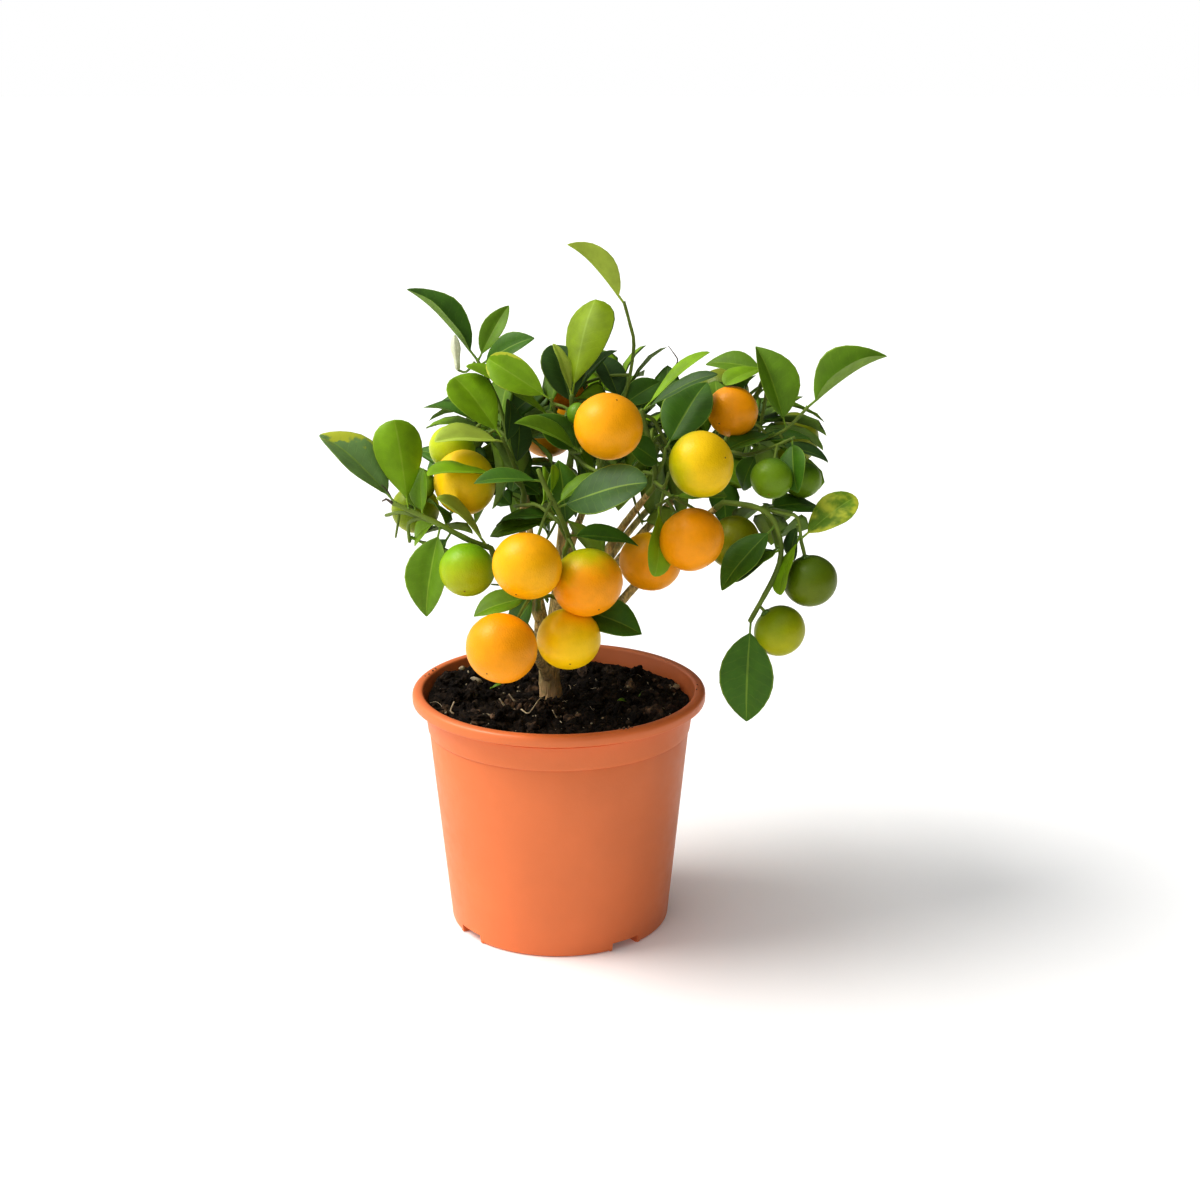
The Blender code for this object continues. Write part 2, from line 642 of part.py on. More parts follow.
def grow_heart(crown, mass):
    """The seeded rule: shoots that reach for drawn points, with leaves set round them by a fixed turn."""
    draw = random.Random(mass.seed)
    stem = stem_way(mass)
    grown = []
    for _ in range(mass.fill_shoots):
        target = point_in_heart(mass.heart, draw, *FILL_SHELL)
        start, on = along_way(stem, draw.uniform(0.2, 1.0))
        bend = start + on * 0.35 * (target - start).length
        way = smooth_way([start, bend.lerp(target, 0.4), target])
        turn = draw.uniform(0, 360)
        if crown.add_twig(mass, way, taper(way, SHOOT_FOOT_RADIUS, SHOOT_TIP_RADIUS)):
            grown.append((way, turn))
    for _ in range(mass.fill_fruits):
        diameter = draw.uniform(*FILL_FRUIT_DIAMETER)
        places = [point_in_heart(mass.heart, draw, *FILL_FRUIT_SHELL) for _ in range(FILL_FRUIT_TRIES)]
        any(crown.add_fruit(mass, Fruit(tuple(place), diameter)) for place in places)
    for way, turn in grown:
        for k in range(FILL_LEAVES):
            length = draw.uniform(*FILL_LENGTH)
            for attempt in range(FILL_TRIES):
                turn += FILL_TURN
                foot, tangent = along_way(way, 1.0 - 0.8 * k / FILL_LEAVES)
                tilt = math.radians(draw.uniform(*FILL_SPREAD) * (0.4 if k + attempt == 0 else 1.0))
                across = tangent.orthogonal().normalized()
                across.rotate(Quaternion(tangent, math.radians(turn)))
                along = tangent * math.cos(tilt) + across * math.sin(tilt) + Vector((0, 0, FILL_LIFT))
                blade = Blade(
                    foot, along, length, length * draw.uniform(*FILL_SLENDERNESS), draw.uniform(*FILL_ROLL),
                    draw.uniform(*FILL_FOLD), draw.uniform(*FILL_ARCH), HEART_STATIONS
                )
                if inside_heart(mass.heart, blade.midrib(1)) and crown.add_leaf(mass, blade):
                    break


def material(name, colour, roughness):
    """A plain surface of one colour."""
    made = bpy.data.materials.new(name)
    made.use_nodes = True
    shader = made.node_tree.nodes["Principled BSDF"]
    shader.inputs["Base Color"].default_value = (*colour, 1)
    shader.inputs["Roughness"].default_value = roughness
    return made


def placed(name, mesh, collection, surface=None):
    """An object of a mesh that is in millimetres, scaled to metres."""
    mesh.transform(Matrix.Scale(MM, 4))
    obj = bpy.data.objects.new(name, mesh)
    collection.objects.link(obj)
    if surface:
        mesh.materials.clear()
        mesh.materials.append(surface)
    return obj


def cutter(name, mesh, collection):
    """A helper that cuts other pieces and isn't one itself."""
    obj = placed(name, mesh, collection)
    obj.hide_render = True
    obj.display_type = "WIRE"
    return obj


def boolean(obj, other, operation):
    """Adds an exact Boolean of one object or of a whole collection."""
    modifier = obj.modifiers.new(operation.lower(), "BOOLEAN")
    modifier.operation = operation
    modifier.solver = "EXACT"
    if isinstance(other, bpy.types.Collection):
        modifier.operand_type = "COLLECTION"
        modifier.collection = other
    else:
        modifier.object = other


def apply_modifiers(obj):
    """Makes what the modifiers show the object's own mesh."""
    graph = bpy.context.evaluated_depsgraph_get()
    mesh = bpy.data.meshes.new_from_object(obj.evaluated_get(graph))
    obj.modifiers.clear()
    obj.data = mesh


def turned_mesh(name, profile, segments):
    """A solid turned round the Z axis from a profile of radius and height in millimetres."""
    bm = bmesh.new()
    verts = [bm.verts.new((r, 0, z)) for r, z in profile]
    edges = [bm.edges.new(pair) for pair in zip(verts, verts[1:])]
    bmesh.ops.spin(
        bm, geom=verts + edges, cent=(0, 0, 0), axis=(0, 0, 1), angle=math.tau, steps=segments, use_merge=True
    )
    bmesh.ops.remove_doubles(bm, verts=bm.verts, dist=0.001)
    return mesh_of(bm, name)


def wall_radius(height):
    """The pot's outer radius at a height of its body."""
    top = COLLAR_FOOT_RADIUS - COLLAR_STEP
    return FOOT_RADIUS + (top - FOOT_RADIUS) * height / COLLAR_FOOT_HEIGHT


def pot_profile():
    """The pot's section, from the middle of its underside round the rim to the middle of its floor."""
    rim_foot = POT_HEIGHT - RIM_HEIGHT
    inner_top = RIM_RADIUS - RIM_LIP
    return (
        (0, 0),
        (FOOT_RADIUS - FOOT_ROUND, 0),
        (FOOT_RADIUS - 0.3, 0.7),
        (wall_radius(FOOT_ROUND), FOOT_ROUND),
        (wall_radius(COLLAR_FOOT_HEIGHT), COLLAR_FOOT_HEIGHT),
        (COLLAR_FOOT_RADIUS, COLLAR_FOOT_HEIGHT + COLLAR_STEP),
        (COLLAR_TOP_RADIUS, rim_foot - 0.4),
        (RIM_RADIUS - 1.2, rim_foot),
        (RIM_RADIUS, rim_foot + 1.6),
        (RIM_RADIUS - 0.2, POT_HEIGHT - 1.9),
        (RIM_RADIUS - 1.8, POT_HEIGHT - 0.3),
        (RIM_RADIUS - 3.4, POT_HEIGHT),
        (inner_top, POT_HEIGHT - 0.9),
        (COLLAR_TOP_RADIUS - WALL, rim_foot - 3.0),
        (wall_radius(COLLAR_FOOT_HEIGHT) - WALL, COLLAR_FOOT_HEIGHT),
        (wall_radius(FLOOR) - WALL, FLOOR),
        (0, FLOOR),
    )


def notch_mesh(name, swell, height, inner, outer):
    """A block across the pot's foot, wide at its own foot, for a notch or the pocket over it."""
    bm = bmesh.new()
    bmesh.ops.create_cube(bm, size=1)
    for vert in bm.verts:
        top = vert.co.z > 0
        half = NOTCH_WIDTH / 2 + swell - (NOTCH_HEIGHT * NOTCH_SLOPE if top else 0)
        vert.co = Vector((
            outer if vert.co.x > 0 else inner,
            math.copysign(half, vert.co.y),
            height if top else (-1.0 if swell == 0 else 0.5),
        ))
    return mesh_of(bm, name)


def make_pot(parts, cutters, surface):
    """The pot: a turned shell with a rolled rim, and a drained notch at four places of its foot."""
    pot = placed("pot", turned_mesh("pot", pot_profile(), POT_SEGMENTS), parts, surface)
    for k in range(NOTCH_COUNT):
        turn = Matrix.Rotation(math.radians(NOTCH_BEARING + k * 360 / NOTCH_COUNT), 4, "Z")
        pocket = notch_mesh("pocket", POCKET_WALL, NOTCH_HEIGHT + POCKET_WALL, NOTCH_INNER_RADIUS - POCKET_WALL,
                            wall_radius(0) - 0.6)
        notch = notch_mesh("notch", 0, NOTCH_HEIGHT, NOTCH_INNER_RADIUS, RIM_RADIUS)
        drain = bmesh.new()
        bmesh.ops.create_cone(
            drain, cap_ends=True, segments=12, radius1=DRAIN_RADIUS, radius2=DRAIN_RADIUS, depth=4 * POCKET_WALL
        )
        bmesh.ops.translate(drain, vec=(NOTCH_INNER_RADIUS + 4.5, 0, NOTCH_HEIGHT + POCKET_WALL), verts=drain.verts)
        for name, mesh, operation in (
            ("pocket", pocket, "UNION"),
            ("notch", notch, "DIFFERENCE"),
            ("drain", mesh_of(drain, "drain"), "DIFFERENCE"),
        ):
            mesh.transform(turn)
            boolean(pot, cutter(f"{name}_{k}", mesh, cutters), operation)
    apply_modifiers(pot)
    return pot


def soil_height(x, y):
    """The height of the soil: lumpy, and dipping to a small flat where the trunk stands."""
    off = math.hypot(x - TRUNK_FOOT[0], y - TRUNK_FOOT[1])
    dip = max(0.0, min(1.0, (SOIL_DIP_RADIUS - off) / (SOIL_DIP_RADIUS - SOIL_FLAT_RADIUS)))
    lump = noise.noise(Vector((x, y, 0)) / SOIL_LUMP_SIZE) * SOIL_LUMP
    return SOIL_EDGE_HEIGHT + lump * (1 - dip) + (SOIL_MIDDLE_HEIGHT - SOIL_EDGE_HEIGHT) * dip


def make_soil(parts, cutters, surface):
    """The soil that fills the pot, with a lumpy top, clear of the wall and of the pockets in the floor."""
    inner = SOIL_EDGE_RADIUS
    profile = [(0, FLOOR + GAP), (wall_radius(FLOOR) - WALL - GAP - 0.4, FLOOR + GAP)]
    profile += [(wall_radius(COLLAR_FOOT_HEIGHT) - WALL - GAP - 0.3, COLLAR_FOOT_HEIGHT)]
    profile += [(inner * k / SOIL_RINGS, SOIL_EDGE_HEIGHT) for k in range(SOIL_RINGS, -1, -1)]
    mesh = turned_mesh("soil", profile, SOIL_SEGMENTS)
    middle = Vector((TRUNK_FOOT[0], TRUNK_FOOT[1]))
    for vert in mesh.vertices:
        if vert.co.z < SOIL_EDGE_HEIGHT - 1:
            continue
        share = 1 - math.hypot(vert.co.x, vert.co.y) / inner
        vert.co.x += middle.x * share
        vert.co.y += middle.y * share
        vert.co.z = soil_height(vert.co.x, vert.co.y)
    soil = placed("soil", mesh, parts, surface)
    for k in range(NOTCH_COUNT):
        turn = Matrix.Rotation(math.radians(NOTCH_BEARING + k * 360 / NOTCH_COUNT), 4, "Z")
        room = notch_mesh("room", POCKET_WALL + GAP, NOTCH_HEIGHT + POCKET_WALL + GAP,
                          NOTCH_INNER_RADIUS - POCKET_WALL - GAP, RIM_RADIUS)
        room.transform(turn)
        boolean(soil, cutter(f"soil_room_{k}", room, cutters), "DIFFERENCE")
    apply_modifiers(soil)
    return soil


def make_limbs(parts, cutters, surface):
    """The trunk and its boughs. Each bough's foot is cut to the trunk's side, a gap off it."""
    trunk_way = [Vector(p) for p in TRUNK_WAY]
    trunk = tube_mesh("trunk", trunk_way, TRUNK_RADII, LIMB_SIDES_8)
    meshes = [trunk.copy()]
    placed("trunk", trunk, parts, surface)
    room_way = [*trunk_way, past(trunk_way, GAP)]
    room_radii = [r + GAP for r in (*TRUNK_RADII, TRUNK_RADII[-1])]
    wide_trunk = tube_mesh("trunk_room", room_way, room_radii, LIMB_SIDES_8)
    trunk_room = cutter("trunk_room", wide_trunk, cutters)
    for bough in BOUGHS:
        way = bough_way(bough)
        mesh = tube_mesh(bough.name, way, taper(way, bough.foot_radius, bough.tip_radius), LIMB_SIDES_6)
        meshes.append(mesh.copy())
        obj = placed(bough.name, mesh, parts, surface)
        if bough.grows_from == "trunk":
            boolean(obj, trunk_room, "DIFFERENCE")
            apply_modifiers(obj)
    return meshes


def keep_outer_shell(mesh):
    """Leaves only the largest of a joined mesh's shells, so that no pocket stays closed inside it."""
    bm = bmesh.new()
    bm.from_mesh(mesh)
    left, shells = set(bm.faces), []
    while left:
        shell, front = [], [left.pop()]
        while front:
            face = front.pop()
            shell.append(face)
            near = {other for edge in face.edges for other in edge.link_faces} & left
            left -= near
            front.extend(near)
        shells.append(shell)
    shells.sort(key=len)
    for shell in shells[:-1]:
        bmesh.ops.delete(bm, geom=shell, context="FACES")
    bm.to_mesh(mesh)
    bm.free()


def join_mass(name, meshes, parts, surface):
    """One solid from the wood, leaves and fruit of a mass."""
    pieces = bpy.data.collections.new(name + "_pieces")
    bpy.context.scene.collection.children.link(pieces)
    stem = placed(name, meshes[0], parts, surface)
    for k, mesh in enumerate(meshes[1:]):
        placed(f"{name}_{k}", mesh, pieces)
    boolean(stem, pieces, "UNION")
    apply_modifiers(stem)
    keep_outer_shell(stem.data)
    stem.data.materials.clear()
    stem.data.materials.append(surface)
    for piece in list(pieces.objects):
        bpy.data.objects.remove(piece)
    bpy.data.collections.remove(pieces)
    return stem


def main():
    for obj in list(bpy.data.objects):
        bpy.data.objects.remove(obj)
    parts = bpy.data.collections.new("calamondin_orange_tree")
    cutters = bpy.data.collections.new("cutters")
    for collection in (parts, cutters):
        bpy.context.scene.collection.children.link(collection)
    bark = material("bark", BARK_COLOUR, 0.85)
    make_pot(parts, cutters, material("pot_plastic", POT_COLOUR, 0.45))
    make_soil(parts, cutters, material("soil", SOIL_COLOUR, 0.95))
    crown = Crown(make_limbs(parts, cutters, bark))
    grow_shown(crown)
    for mass in MASSES:
        grow_heart(crown, mass)
    leaf = material("leaf", LEAF_COLOUR, 0.4)
    for mass in MASSES:
        join_mass(mass.name, crown.meshes[mass.name], parts, leaf)
    return crown


if __name__ == "__main__":
    main()
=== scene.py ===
"""A calamondin orange tree in its nursery pot, dressed round its fixed frame.

The crown is grown again by the rule of the frame's own source, and carried on to finer twigs and
smaller leaves within the same reach. Growth is worked out in millimetres; pieces are in metres.
"""

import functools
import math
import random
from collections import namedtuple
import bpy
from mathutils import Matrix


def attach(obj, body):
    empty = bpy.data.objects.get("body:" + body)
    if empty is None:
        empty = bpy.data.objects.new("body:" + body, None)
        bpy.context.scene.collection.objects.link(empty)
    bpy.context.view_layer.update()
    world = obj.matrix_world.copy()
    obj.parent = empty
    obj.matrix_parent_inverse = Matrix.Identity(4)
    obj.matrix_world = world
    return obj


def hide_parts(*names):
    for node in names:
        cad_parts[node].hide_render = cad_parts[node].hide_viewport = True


bl_info = {
    "name": "Potted calamondin orange tree",
    "version": (1, 0, 0),
    "blender": (4, 5, 0),
    "location": "3D View > Sidebar > Orange tree",
    "description": "Dresses a potted calamondin orange tree with bark, leaves, fruit, soil and its pot",
    "category": "Add Mesh",
}

import bmesh
import bpy
from mathutils import Quaternion, Vector, noise
from mathutils.bvhtree import BVHTree

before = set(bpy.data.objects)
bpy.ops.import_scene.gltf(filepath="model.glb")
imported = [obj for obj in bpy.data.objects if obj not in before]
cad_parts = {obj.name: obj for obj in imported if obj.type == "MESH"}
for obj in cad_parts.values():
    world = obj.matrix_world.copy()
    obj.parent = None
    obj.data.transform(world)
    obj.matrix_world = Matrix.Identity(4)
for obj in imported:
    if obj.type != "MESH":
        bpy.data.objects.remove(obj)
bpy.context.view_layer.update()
BODY = "root"

# Growth is in millimetres and degrees
MM = 0.001
GAP = 0.3

# Pot
POT_HEIGHT = 125.0
RIM_RADIUS = 75.0
RIM_HEIGHT = 5.7
RIM_LIP = 5.5
COLLAR_TOP_RADIUS = 69.2
COLLAR_FOOT_RADIUS = 67.3
COLLAR_FOOT_HEIGHT = 104.5
COLLAR_STEP = 0.6
FOOT_RADIUS = 56.5
WALL = 1.8
FLOOR = 2.0
SMOOTH_ANGLE = 40
NOTCH_COUNT = 4
NOTCH_BEARING = 37.0
NOTCH_WIDTH = 26.0
NOTCH_HEIGHT = 4.5
NOTCH_SLOPE = 1.1
NOTCH_INNER_RADIUS = 45.0
POCKET_WALL = 1.5
DRAIN_RADIUS = 3.0
DRAIN_SIDES = 24

# The last ring of a turned form, which is closed with one face
MIDDLE_HOLE = 4.0

# Soil
SOIL_EDGE_HEIGHT = 118.6
SOIL_EDGE_RADIUS = 66.8
SOIL_MIDDLE_HEIGHT = 115.7
SOIL_DIP_RADIUS = 38.0
SOIL_FLAT_RADIUS = 16.0
SOIL_LUMP = 1.6
SOIL_LUMP_SIZE = 13.0

# Trunk and boughs: the way each one goes, and its radius at its foot and its tip
Limb = namedtuple("Limb", "name way foot_radius tip_radius grows_from", defaults=("trunk",))
TRUNK_FOOT = (-4.4, 9.0, SOIL_MIDDLE_HEIGHT + GAP)
TRUNK_WAY = (
    TRUNK_FOOT, (-4.4, 9.0, 119), (-5.2, 8.6, 126), (-4.6, 7.4, 140), (-2.6, 6.2, 152), (-1.0, 5.5, 163),
)
TRUNK_RADII = (6.9, 5.9, 5.4, 5.2, 4.9, 4.6)
BOUGHS = (
    Limb("bough_leader", ((-0.4, 5.2, 167), (1, 7, 190), (3, 9, 216), (6, 9, 240)), 3.0, 1.6, "trunk tip"),
    Limb("bough_left", ((-4.6, 7.4, 136), (-17, -4, 158), (-25, -20, 184), (-31, -29, 203)), 2.9, 1.5),
    Limb("bough_upper_left", ((-4, 7, 146), (-15, 11, 172), (-18, 3, 202), (-17, -3, 224)), 2.9, 1.5),
    Limb("bough_front", ((-2.4, 6.1, 150), (-1, -12, 170), (3, -28, 188), (4, -37, 205)), 2.6, 1.4),
    Limb("bough_front_low", ((-5, 8, 128), (-11, -13, 146), (-10, -34, 164), (-9, -45, 181)), 2.4, 1.3),
    Limb("bough_right", ((-2.4, 6.1, 151), (15, 4, 180), (32, 10, 206), (46, -2, 228)), 2.8, 1.5),
    Limb("bough_far_right", ((-4.4, 7.3, 137), (24, 6, 160), (56, 16, 194), (80, -4, 221)), 3.0, 1.5),
    Limb("bough_upper_right", ((-3.6, 6.8, 144), (28, 24, 182), (58, 34, 214), (79, 29, 238)), 2.9, 1.5),
    Limb("bough_back_left", ((-4.6, 7.4, 140), (-12, 28, 172), (-16, 42, 200), (-18, 48, 218)), 2.7, 1.4),
    Limb("bough_back", ((-2.2, 6.1, 153), (3, 26, 182), (12, 44, 206), (20, 58, 224)), 2.7, 1.4),
    Limb("bough_back_right", ((-5.0, 7.8, 133), (14, 34, 164), (38, 50, 196), (60, 58, 218)), 2.7, 1.4),
)
LIMB_SIDES_8 = 2
LIMB_SIDES_6 = 1
TWIG_SIDES_4 = 0
TWIG_STEP = 14.0
STEM_TIP_RADIUS = 1.1
SHOOT_FOOT_RADIUS = 1.2
SHOOT_TIP_RADIUS = 0.95
STALK_RADIUS = 0.95
LEAF_SINK = 1.3
STALK_FREE = 2
STALK_STEP = 3.0
STALK_LIFT = 0.35
STALK_ARCH = 0.06

# Leaves as the rule tests them: where the petiole ends and the blade is widest
PETIOLE_SHARE = 0.13
PETIOLE_HALF_WIDTH = 0.65
WIDEST_SHARE = 0.52
ROUNDNESS = 0.72
SHOWN_STATIONS = (0.0, 0.38, 0.74)
HEART_STATIONS = (0.0, 0.52)
LEAF_THICKNESS = 1.0
CLEAR_SWELL = 0.7
SINK_SHARE = 0.16
FRUIT_SEGMENTS = 9
FRUIT_RINGS = 6
FRUIT_FLATNESS = 0.94
STALK_SINK = 2.5

# A leaf leaves its shoot at a share of the shoot's length. Its bearing is seen from above,
# counted from +X towards +Y, and its rise is above the horizon. Roll turns its upper face from
# upright towards the viewer, fold lifts its two halves, and arch bends its midrib by a share of
# its length.
Leaf = namedtuple("Leaf", "look at bearing rise length width roll fold arch", defaults=(0.03,))
Shoot = namedtuple("Shoot", "at way leaves")
Fruit = namedtuple("Fruit", "look centre diameter")
Mass = namedtuple("Mass", "name bough stem leaves shoots fruits heart fill_shoots fill_fruits seed")
Heart = namedtuple("Heart", "centre reach")
Wave = namedtuple("Wave", "height count phase twist")

MASSES = (
    Mass(
        "foliage_left", "bough_left",
        ((-42, -33, 211), (-59, -32, 220), (-79, -30, 229)),
        (
            Leaf("patch", 1.0, 167, 43, 50, 28, 20, 22),
            Leaf("bright", 0.86, 127, 77, 44, 26, 20, -20),
            Leaf("mid", 0.72, 95, 66, 24, 15, 50, 15),
            Leaf("mid", 0.55, -125, -72, 45, 25, 4, 25),
            Leaf("deep", 0.44, 161, -61, 40, 20, 54, 20),
            Leaf("bright", 0.60, 128, -31, 24, 13, 60, 10),
            Leaf("young", 0.10, -140, 52, 42, 20, 32, 15),
        ),
        (),
        (Fruit("green", (-43, -46, 200), 27), Fruit("lime", (-71, -2, 219), 24)),
        Heart((-62, -10, 214), (44, 36, 34)), 2, 0, 11,
    ),
    Mass(
        "foliage_upper_left", "bough_upper_left",
        ((-20, -4, 238), (-25, 2, 255)),
        (),
        (
            Shoot(0.45, ((-24, -9, 250), (-27, -13, 258)), (
                Leaf("bright", 1.0, 155, 49, 39, 26, 34, 8),
                Leaf("grey", 0.75, 82, 54, 25, 14, 60, 15),
                Leaf("young", 0.86, -148, 9, 38, 20, 22, 20),
                Leaf("grey", 0.10, 80, 69, 27, 17, 64, 10),
            )),
            Shoot(0.9, ((-30, 10, 272), (-40, 12, 292)), (
                Leaf("deep", 1.0, 167, 46, 50, 23, 18, 52),
                Leaf("mid", 0.97, 42, 53, 33, 13, 26, 25),
                Leaf("deep", 0.92, -18, 30, 32, 16, 50, 18),
            )),
            Shoot(0.2, ((-24, -16, 240), (-27, -31, 243)), (
                Leaf("bright", 1.0, -159, 7, 37, 20, 12, 15),
            )),
        ),
        (Fruit("yellow", (-45, -20, 237), 32), Fruit("pale", (-53, 10, 247), 24)),
        Heart((-34, 24, 246), (42, 38, 42)), 5, 0, 24,
    ),
    Mass(
        "foliage_top", "bough_leader",
        ((7, 10, 252), (7, 8, 264), (7, 5, 275)),
        (
            Leaf("fresh", 1.0, 66, 61, 53, 28, -4, -18),
            Leaf("young", 0.98, 129, 63, 29, 10, -20, 15),
            Leaf("grey", 0.8, 118, 58, 35, 24, 14, 15),
        ),
        (
            Shoot(0.25, ((1, 0, 262), (-3, -7, 276)), (
                Leaf("bright", 0.42, -178, 36, 56, 14, 26, 20),
                Leaf("margin", 1.0, 163, 27, 40, 21, 36, 28),
            )),
            Shoot(0.14, ((10, -4, 248), (12, -15, 251)), (
                Leaf("mid", 1.0, -155, 29, 39, 20, 28, 20),
                Leaf("deep", 0.6, -165, 44, 29, 17, 62, 20),
            )),
            Shoot(0.12, ((24, 20, 254), (35, 26, 276), (38, 28, 296), (33, 26, 318)), (
                Leaf("young", 1.0, -171, 49, 42, 20, -30, 55),
                Leaf("grey", 0.42, 123, 49, 29, 18, -2, 15),
                Leaf("deep", 0.40, 25, 27, 26, 15, 46, 15),
            )),
            Shoot(0.16, ((14, -14, 244), (20, -30, 245), (20, -38, 252)), ()),
        ),
        (
            Fruit("gold", (25, -45, 270), 33),
            Fruit("red_orange", (4, 46, 271), 23),
            Fruit("bud_green", (10, -10, 269), 11),
        ),
        Heart((14, 30, 258), (44, 38, 40)), 4, 0, 33,
    ),
    Mass(
        "foliage_front", "bough_front",
        ((6, -42, 214), (2, -50, 228), (-5, -56, 244), (-8, -57, 252)),
        (
            Leaf("deep", 0.30, 120, 80, 34, 19, 2, 10),
            Leaf("grey", 0.58, -26, 22, 50, 28, 50, 6),
            Leaf("mid", 0.60, 28, 32, 28, 13, 0, 15),
            Leaf("bright", 0.72, 65, 70, 15, 7, 82, 10),
            Leaf("deep", 0.24, 17, -10, 37, 20, 18, 15),
            Leaf("deep", 0.88, -166, 4, 33, 16, 10, 18),
        ),
        (),
        (Fruit("sunny", (-13, -75, 210), 33), Fruit("turning", (15, -61, 198), 34)),
        Heart((-4, -22, 222), (38, 30, 30)), 3, 0, 44,
    ),
    Mass(
        "foliage_front_low", "bough_front_low",
        ((-9, -52, 189), (-12, -62, 191)),
        (
            Leaf("mid", 1.0, -166, -13, 29, 18, 24, 15),
            Leaf("deep", 0.6, 148, -56, 27, 16, 68, 12),
        ),
        (
            Shoot(0.3, ((-3, -46, 187), (5, -44, 181)), (
                Leaf("deep", 1.0, -13, -16, 40, 23, 34, 15),
            )),
        ),
        (Fruit("orange", (-25, -85, 173), 34), Fruit("yellow", (6, -58, 169), 31)),
        Heart((-18, -34, 190), (26, 24, 20)), 2, 0, 55,
    ),
    Mass(
        "foliage_right", "bough_right",
        ((48, -11, 241), (45, -13, 256), (41, -15, 272)),
        (
            Leaf("bright", 0.97, 22, 40, 45, 13, 2, 15),
            Leaf("grey", 1.0, -14, 31, 42, 12, 22, 15),
        ),
        (
            Shoot(0.2, ((52, -14, 246), (53, -14, 253)), (
                Leaf("deep", 1.0, 47, 45, 43, 26, 24, 10),
                Leaf("deep", 0.5, -150, 36, 25, 16, 58, 12),
            )),
            Shoot(0.16, ((52, -26, 236), (54, -34, 245)), ()),
            Shoot(0.12, ((56, -22, 230), (55, -32, 232), (48, -36, 229)), (
                Leaf("bright", 1.0, -93, -63, 35, 16, 42, 12),
                Leaf("mid", 0.5, -30, 10, 30, 15, 14, 12),
            )),
        ),
        (
            Fruit("yellow_green", (69, -46, 252), 32),
            Fruit("orange", (65, -42, 214), 32),
            Fruit("amber", (46, -13, 195), 31),
            Fruit("olive_amber", (88, -2, 202), 27),
        ),
        Heart((48, 20, 236), (40, 36, 40)), 4, 0, 66,
    ),
    Mass(
        "foliage_upper_right", "bough_upper_right",
        ((88, 31, 252), (100, 30, 270), (106, 24, 287)),
        (
            Leaf("mid", 0.94, 163, 5, 32, 17, 32, 15),
            Leaf("bright", 1.0, -146, -11, 28, 15, 14, 15),
        ),
        (
            Shoot(0.14, ((100, 14, 250), (113, 8, 257), (124, 6, 269)), (
                Leaf("mid", 1.0, 10, 34, 48, 32, 10, 50),
                Leaf("mid", 0.72, 139, 65, 44, 28, 24, 36),
                Leaf("deep", 0.28, -16, 9, 33, 14, 16, 15),
                Leaf("deep", 0.60, -149, -8, 31, 16, 8, 15),
            )),
            Shoot(0.10, ((96, 10, 244), (106, 0, 250), (117, -4, 256)), (
                Leaf("grey", 0.8, 17, -18, 30, 14, 20, 15),
                Leaf("deep", 1.0, -87, -54, 29, 18, 40, 12),
                Leaf("deep", 0.55, 133, -64, 24, 15, 90, 12),
            )),
        ),
        (
            Fruit("orange", (87, 10, 266), 26),
            Fruit("leaf_green", (105, -16, 238), 21),
            Fruit("leaf_green", (123, 10, 231), 19),
        ),
        Heart((98, 38, 250), (44, 38, 38)), 4, 0, 77,
    ),
    Mass(
        "foliage_right_hanging", "bough_far_right",
        ((98, -19, 224), (106, -21, 218), (110, -22, 205), (108, -24, 193), (95, -27, 168)),
        (
            Leaf("grey", 0.30, 40, -60, 24, 15, 20, 12),
            Leaf("deep", 0.42, -158, -44, 41, 21, 22, 12),
            Leaf("mid", 0.56, -154, -18, 23, 13, 2, 12),
            Leaf("grey", 0.54, 165, -37, 31, 15, 26, 12),
            Leaf("deep", 1.0, -113, -85, 53, 28, 2, 10),
        ),
        (
            Shoot(0.2, ((112, -19, 221), (118, -20, 219), (120, -20, 207)), (
                Leaf("bright", 0.6, -155, 38, 46, 13, 40, 12),
                Leaf("grey", 0.75, 123, -74, 21, 12, 84, 12),
                Leaf("mottled", 1.0, 18, 35, 35, 19, 34, 8),
                Leaf("bright", 0.92, -136, -59, 31, 15, -20, 12),
            )),
        ),
        (Fruit("dark_green", (125, -20, 187), 27), Fruit("lime", (110, -26, 163), 26)),
        Heart((106, 4, 212), (32, 30, 30)), 2, 0, 88,
    ),
    Mass(
        "foliage_back_left", "bough_back_left",
        ((-20, 54, 232), (-24, 60, 246)),
        (), (), (),
        Heart((-24, 64, 232), (54, 44, 48)), 7, 2, 108,
    ),
    Mass(
        "foliage_back", "bough_back",
        ((26, 68, 238), (34, 80, 254)),
        (), (), (),
        Heart((36, 88, 242), (50, 42, 50)), 8, 2, 111,
    ),
    Mass(
        "foliage_back_right", "bough_back_right",
        ((72, 62, 230), (84, 68, 244)),
        (), (), (),
        Heart((92, 72, 234), (54, 44, 48)), 6, 2, 122,
    ),
)

# A shown leaf that touches a neighbour is turned and shrunk a little: size, then roll, bearing and rise
SHOWN_TURNS = (
    (1.0, (0, 0, 0)), (1.0, (14, 0, 0)), (1.0, (-14, 0, 0)), (0.97, (0, 5, 0)), (0.97, (0, -5, 0)),
    (0.97, (0, 0, 5)), (0.97, (0, 0, -5)), (0.94, (28, 4, 4)), (0.94, (-28, -4, -4)), (0.9, (10, 8, 0)),
    (0.9, (10, -8, 0)), (0.85, (0, 10, 8)), (0.85, (0, -10, -8)), (0.75, (0, 0, 0)),
)

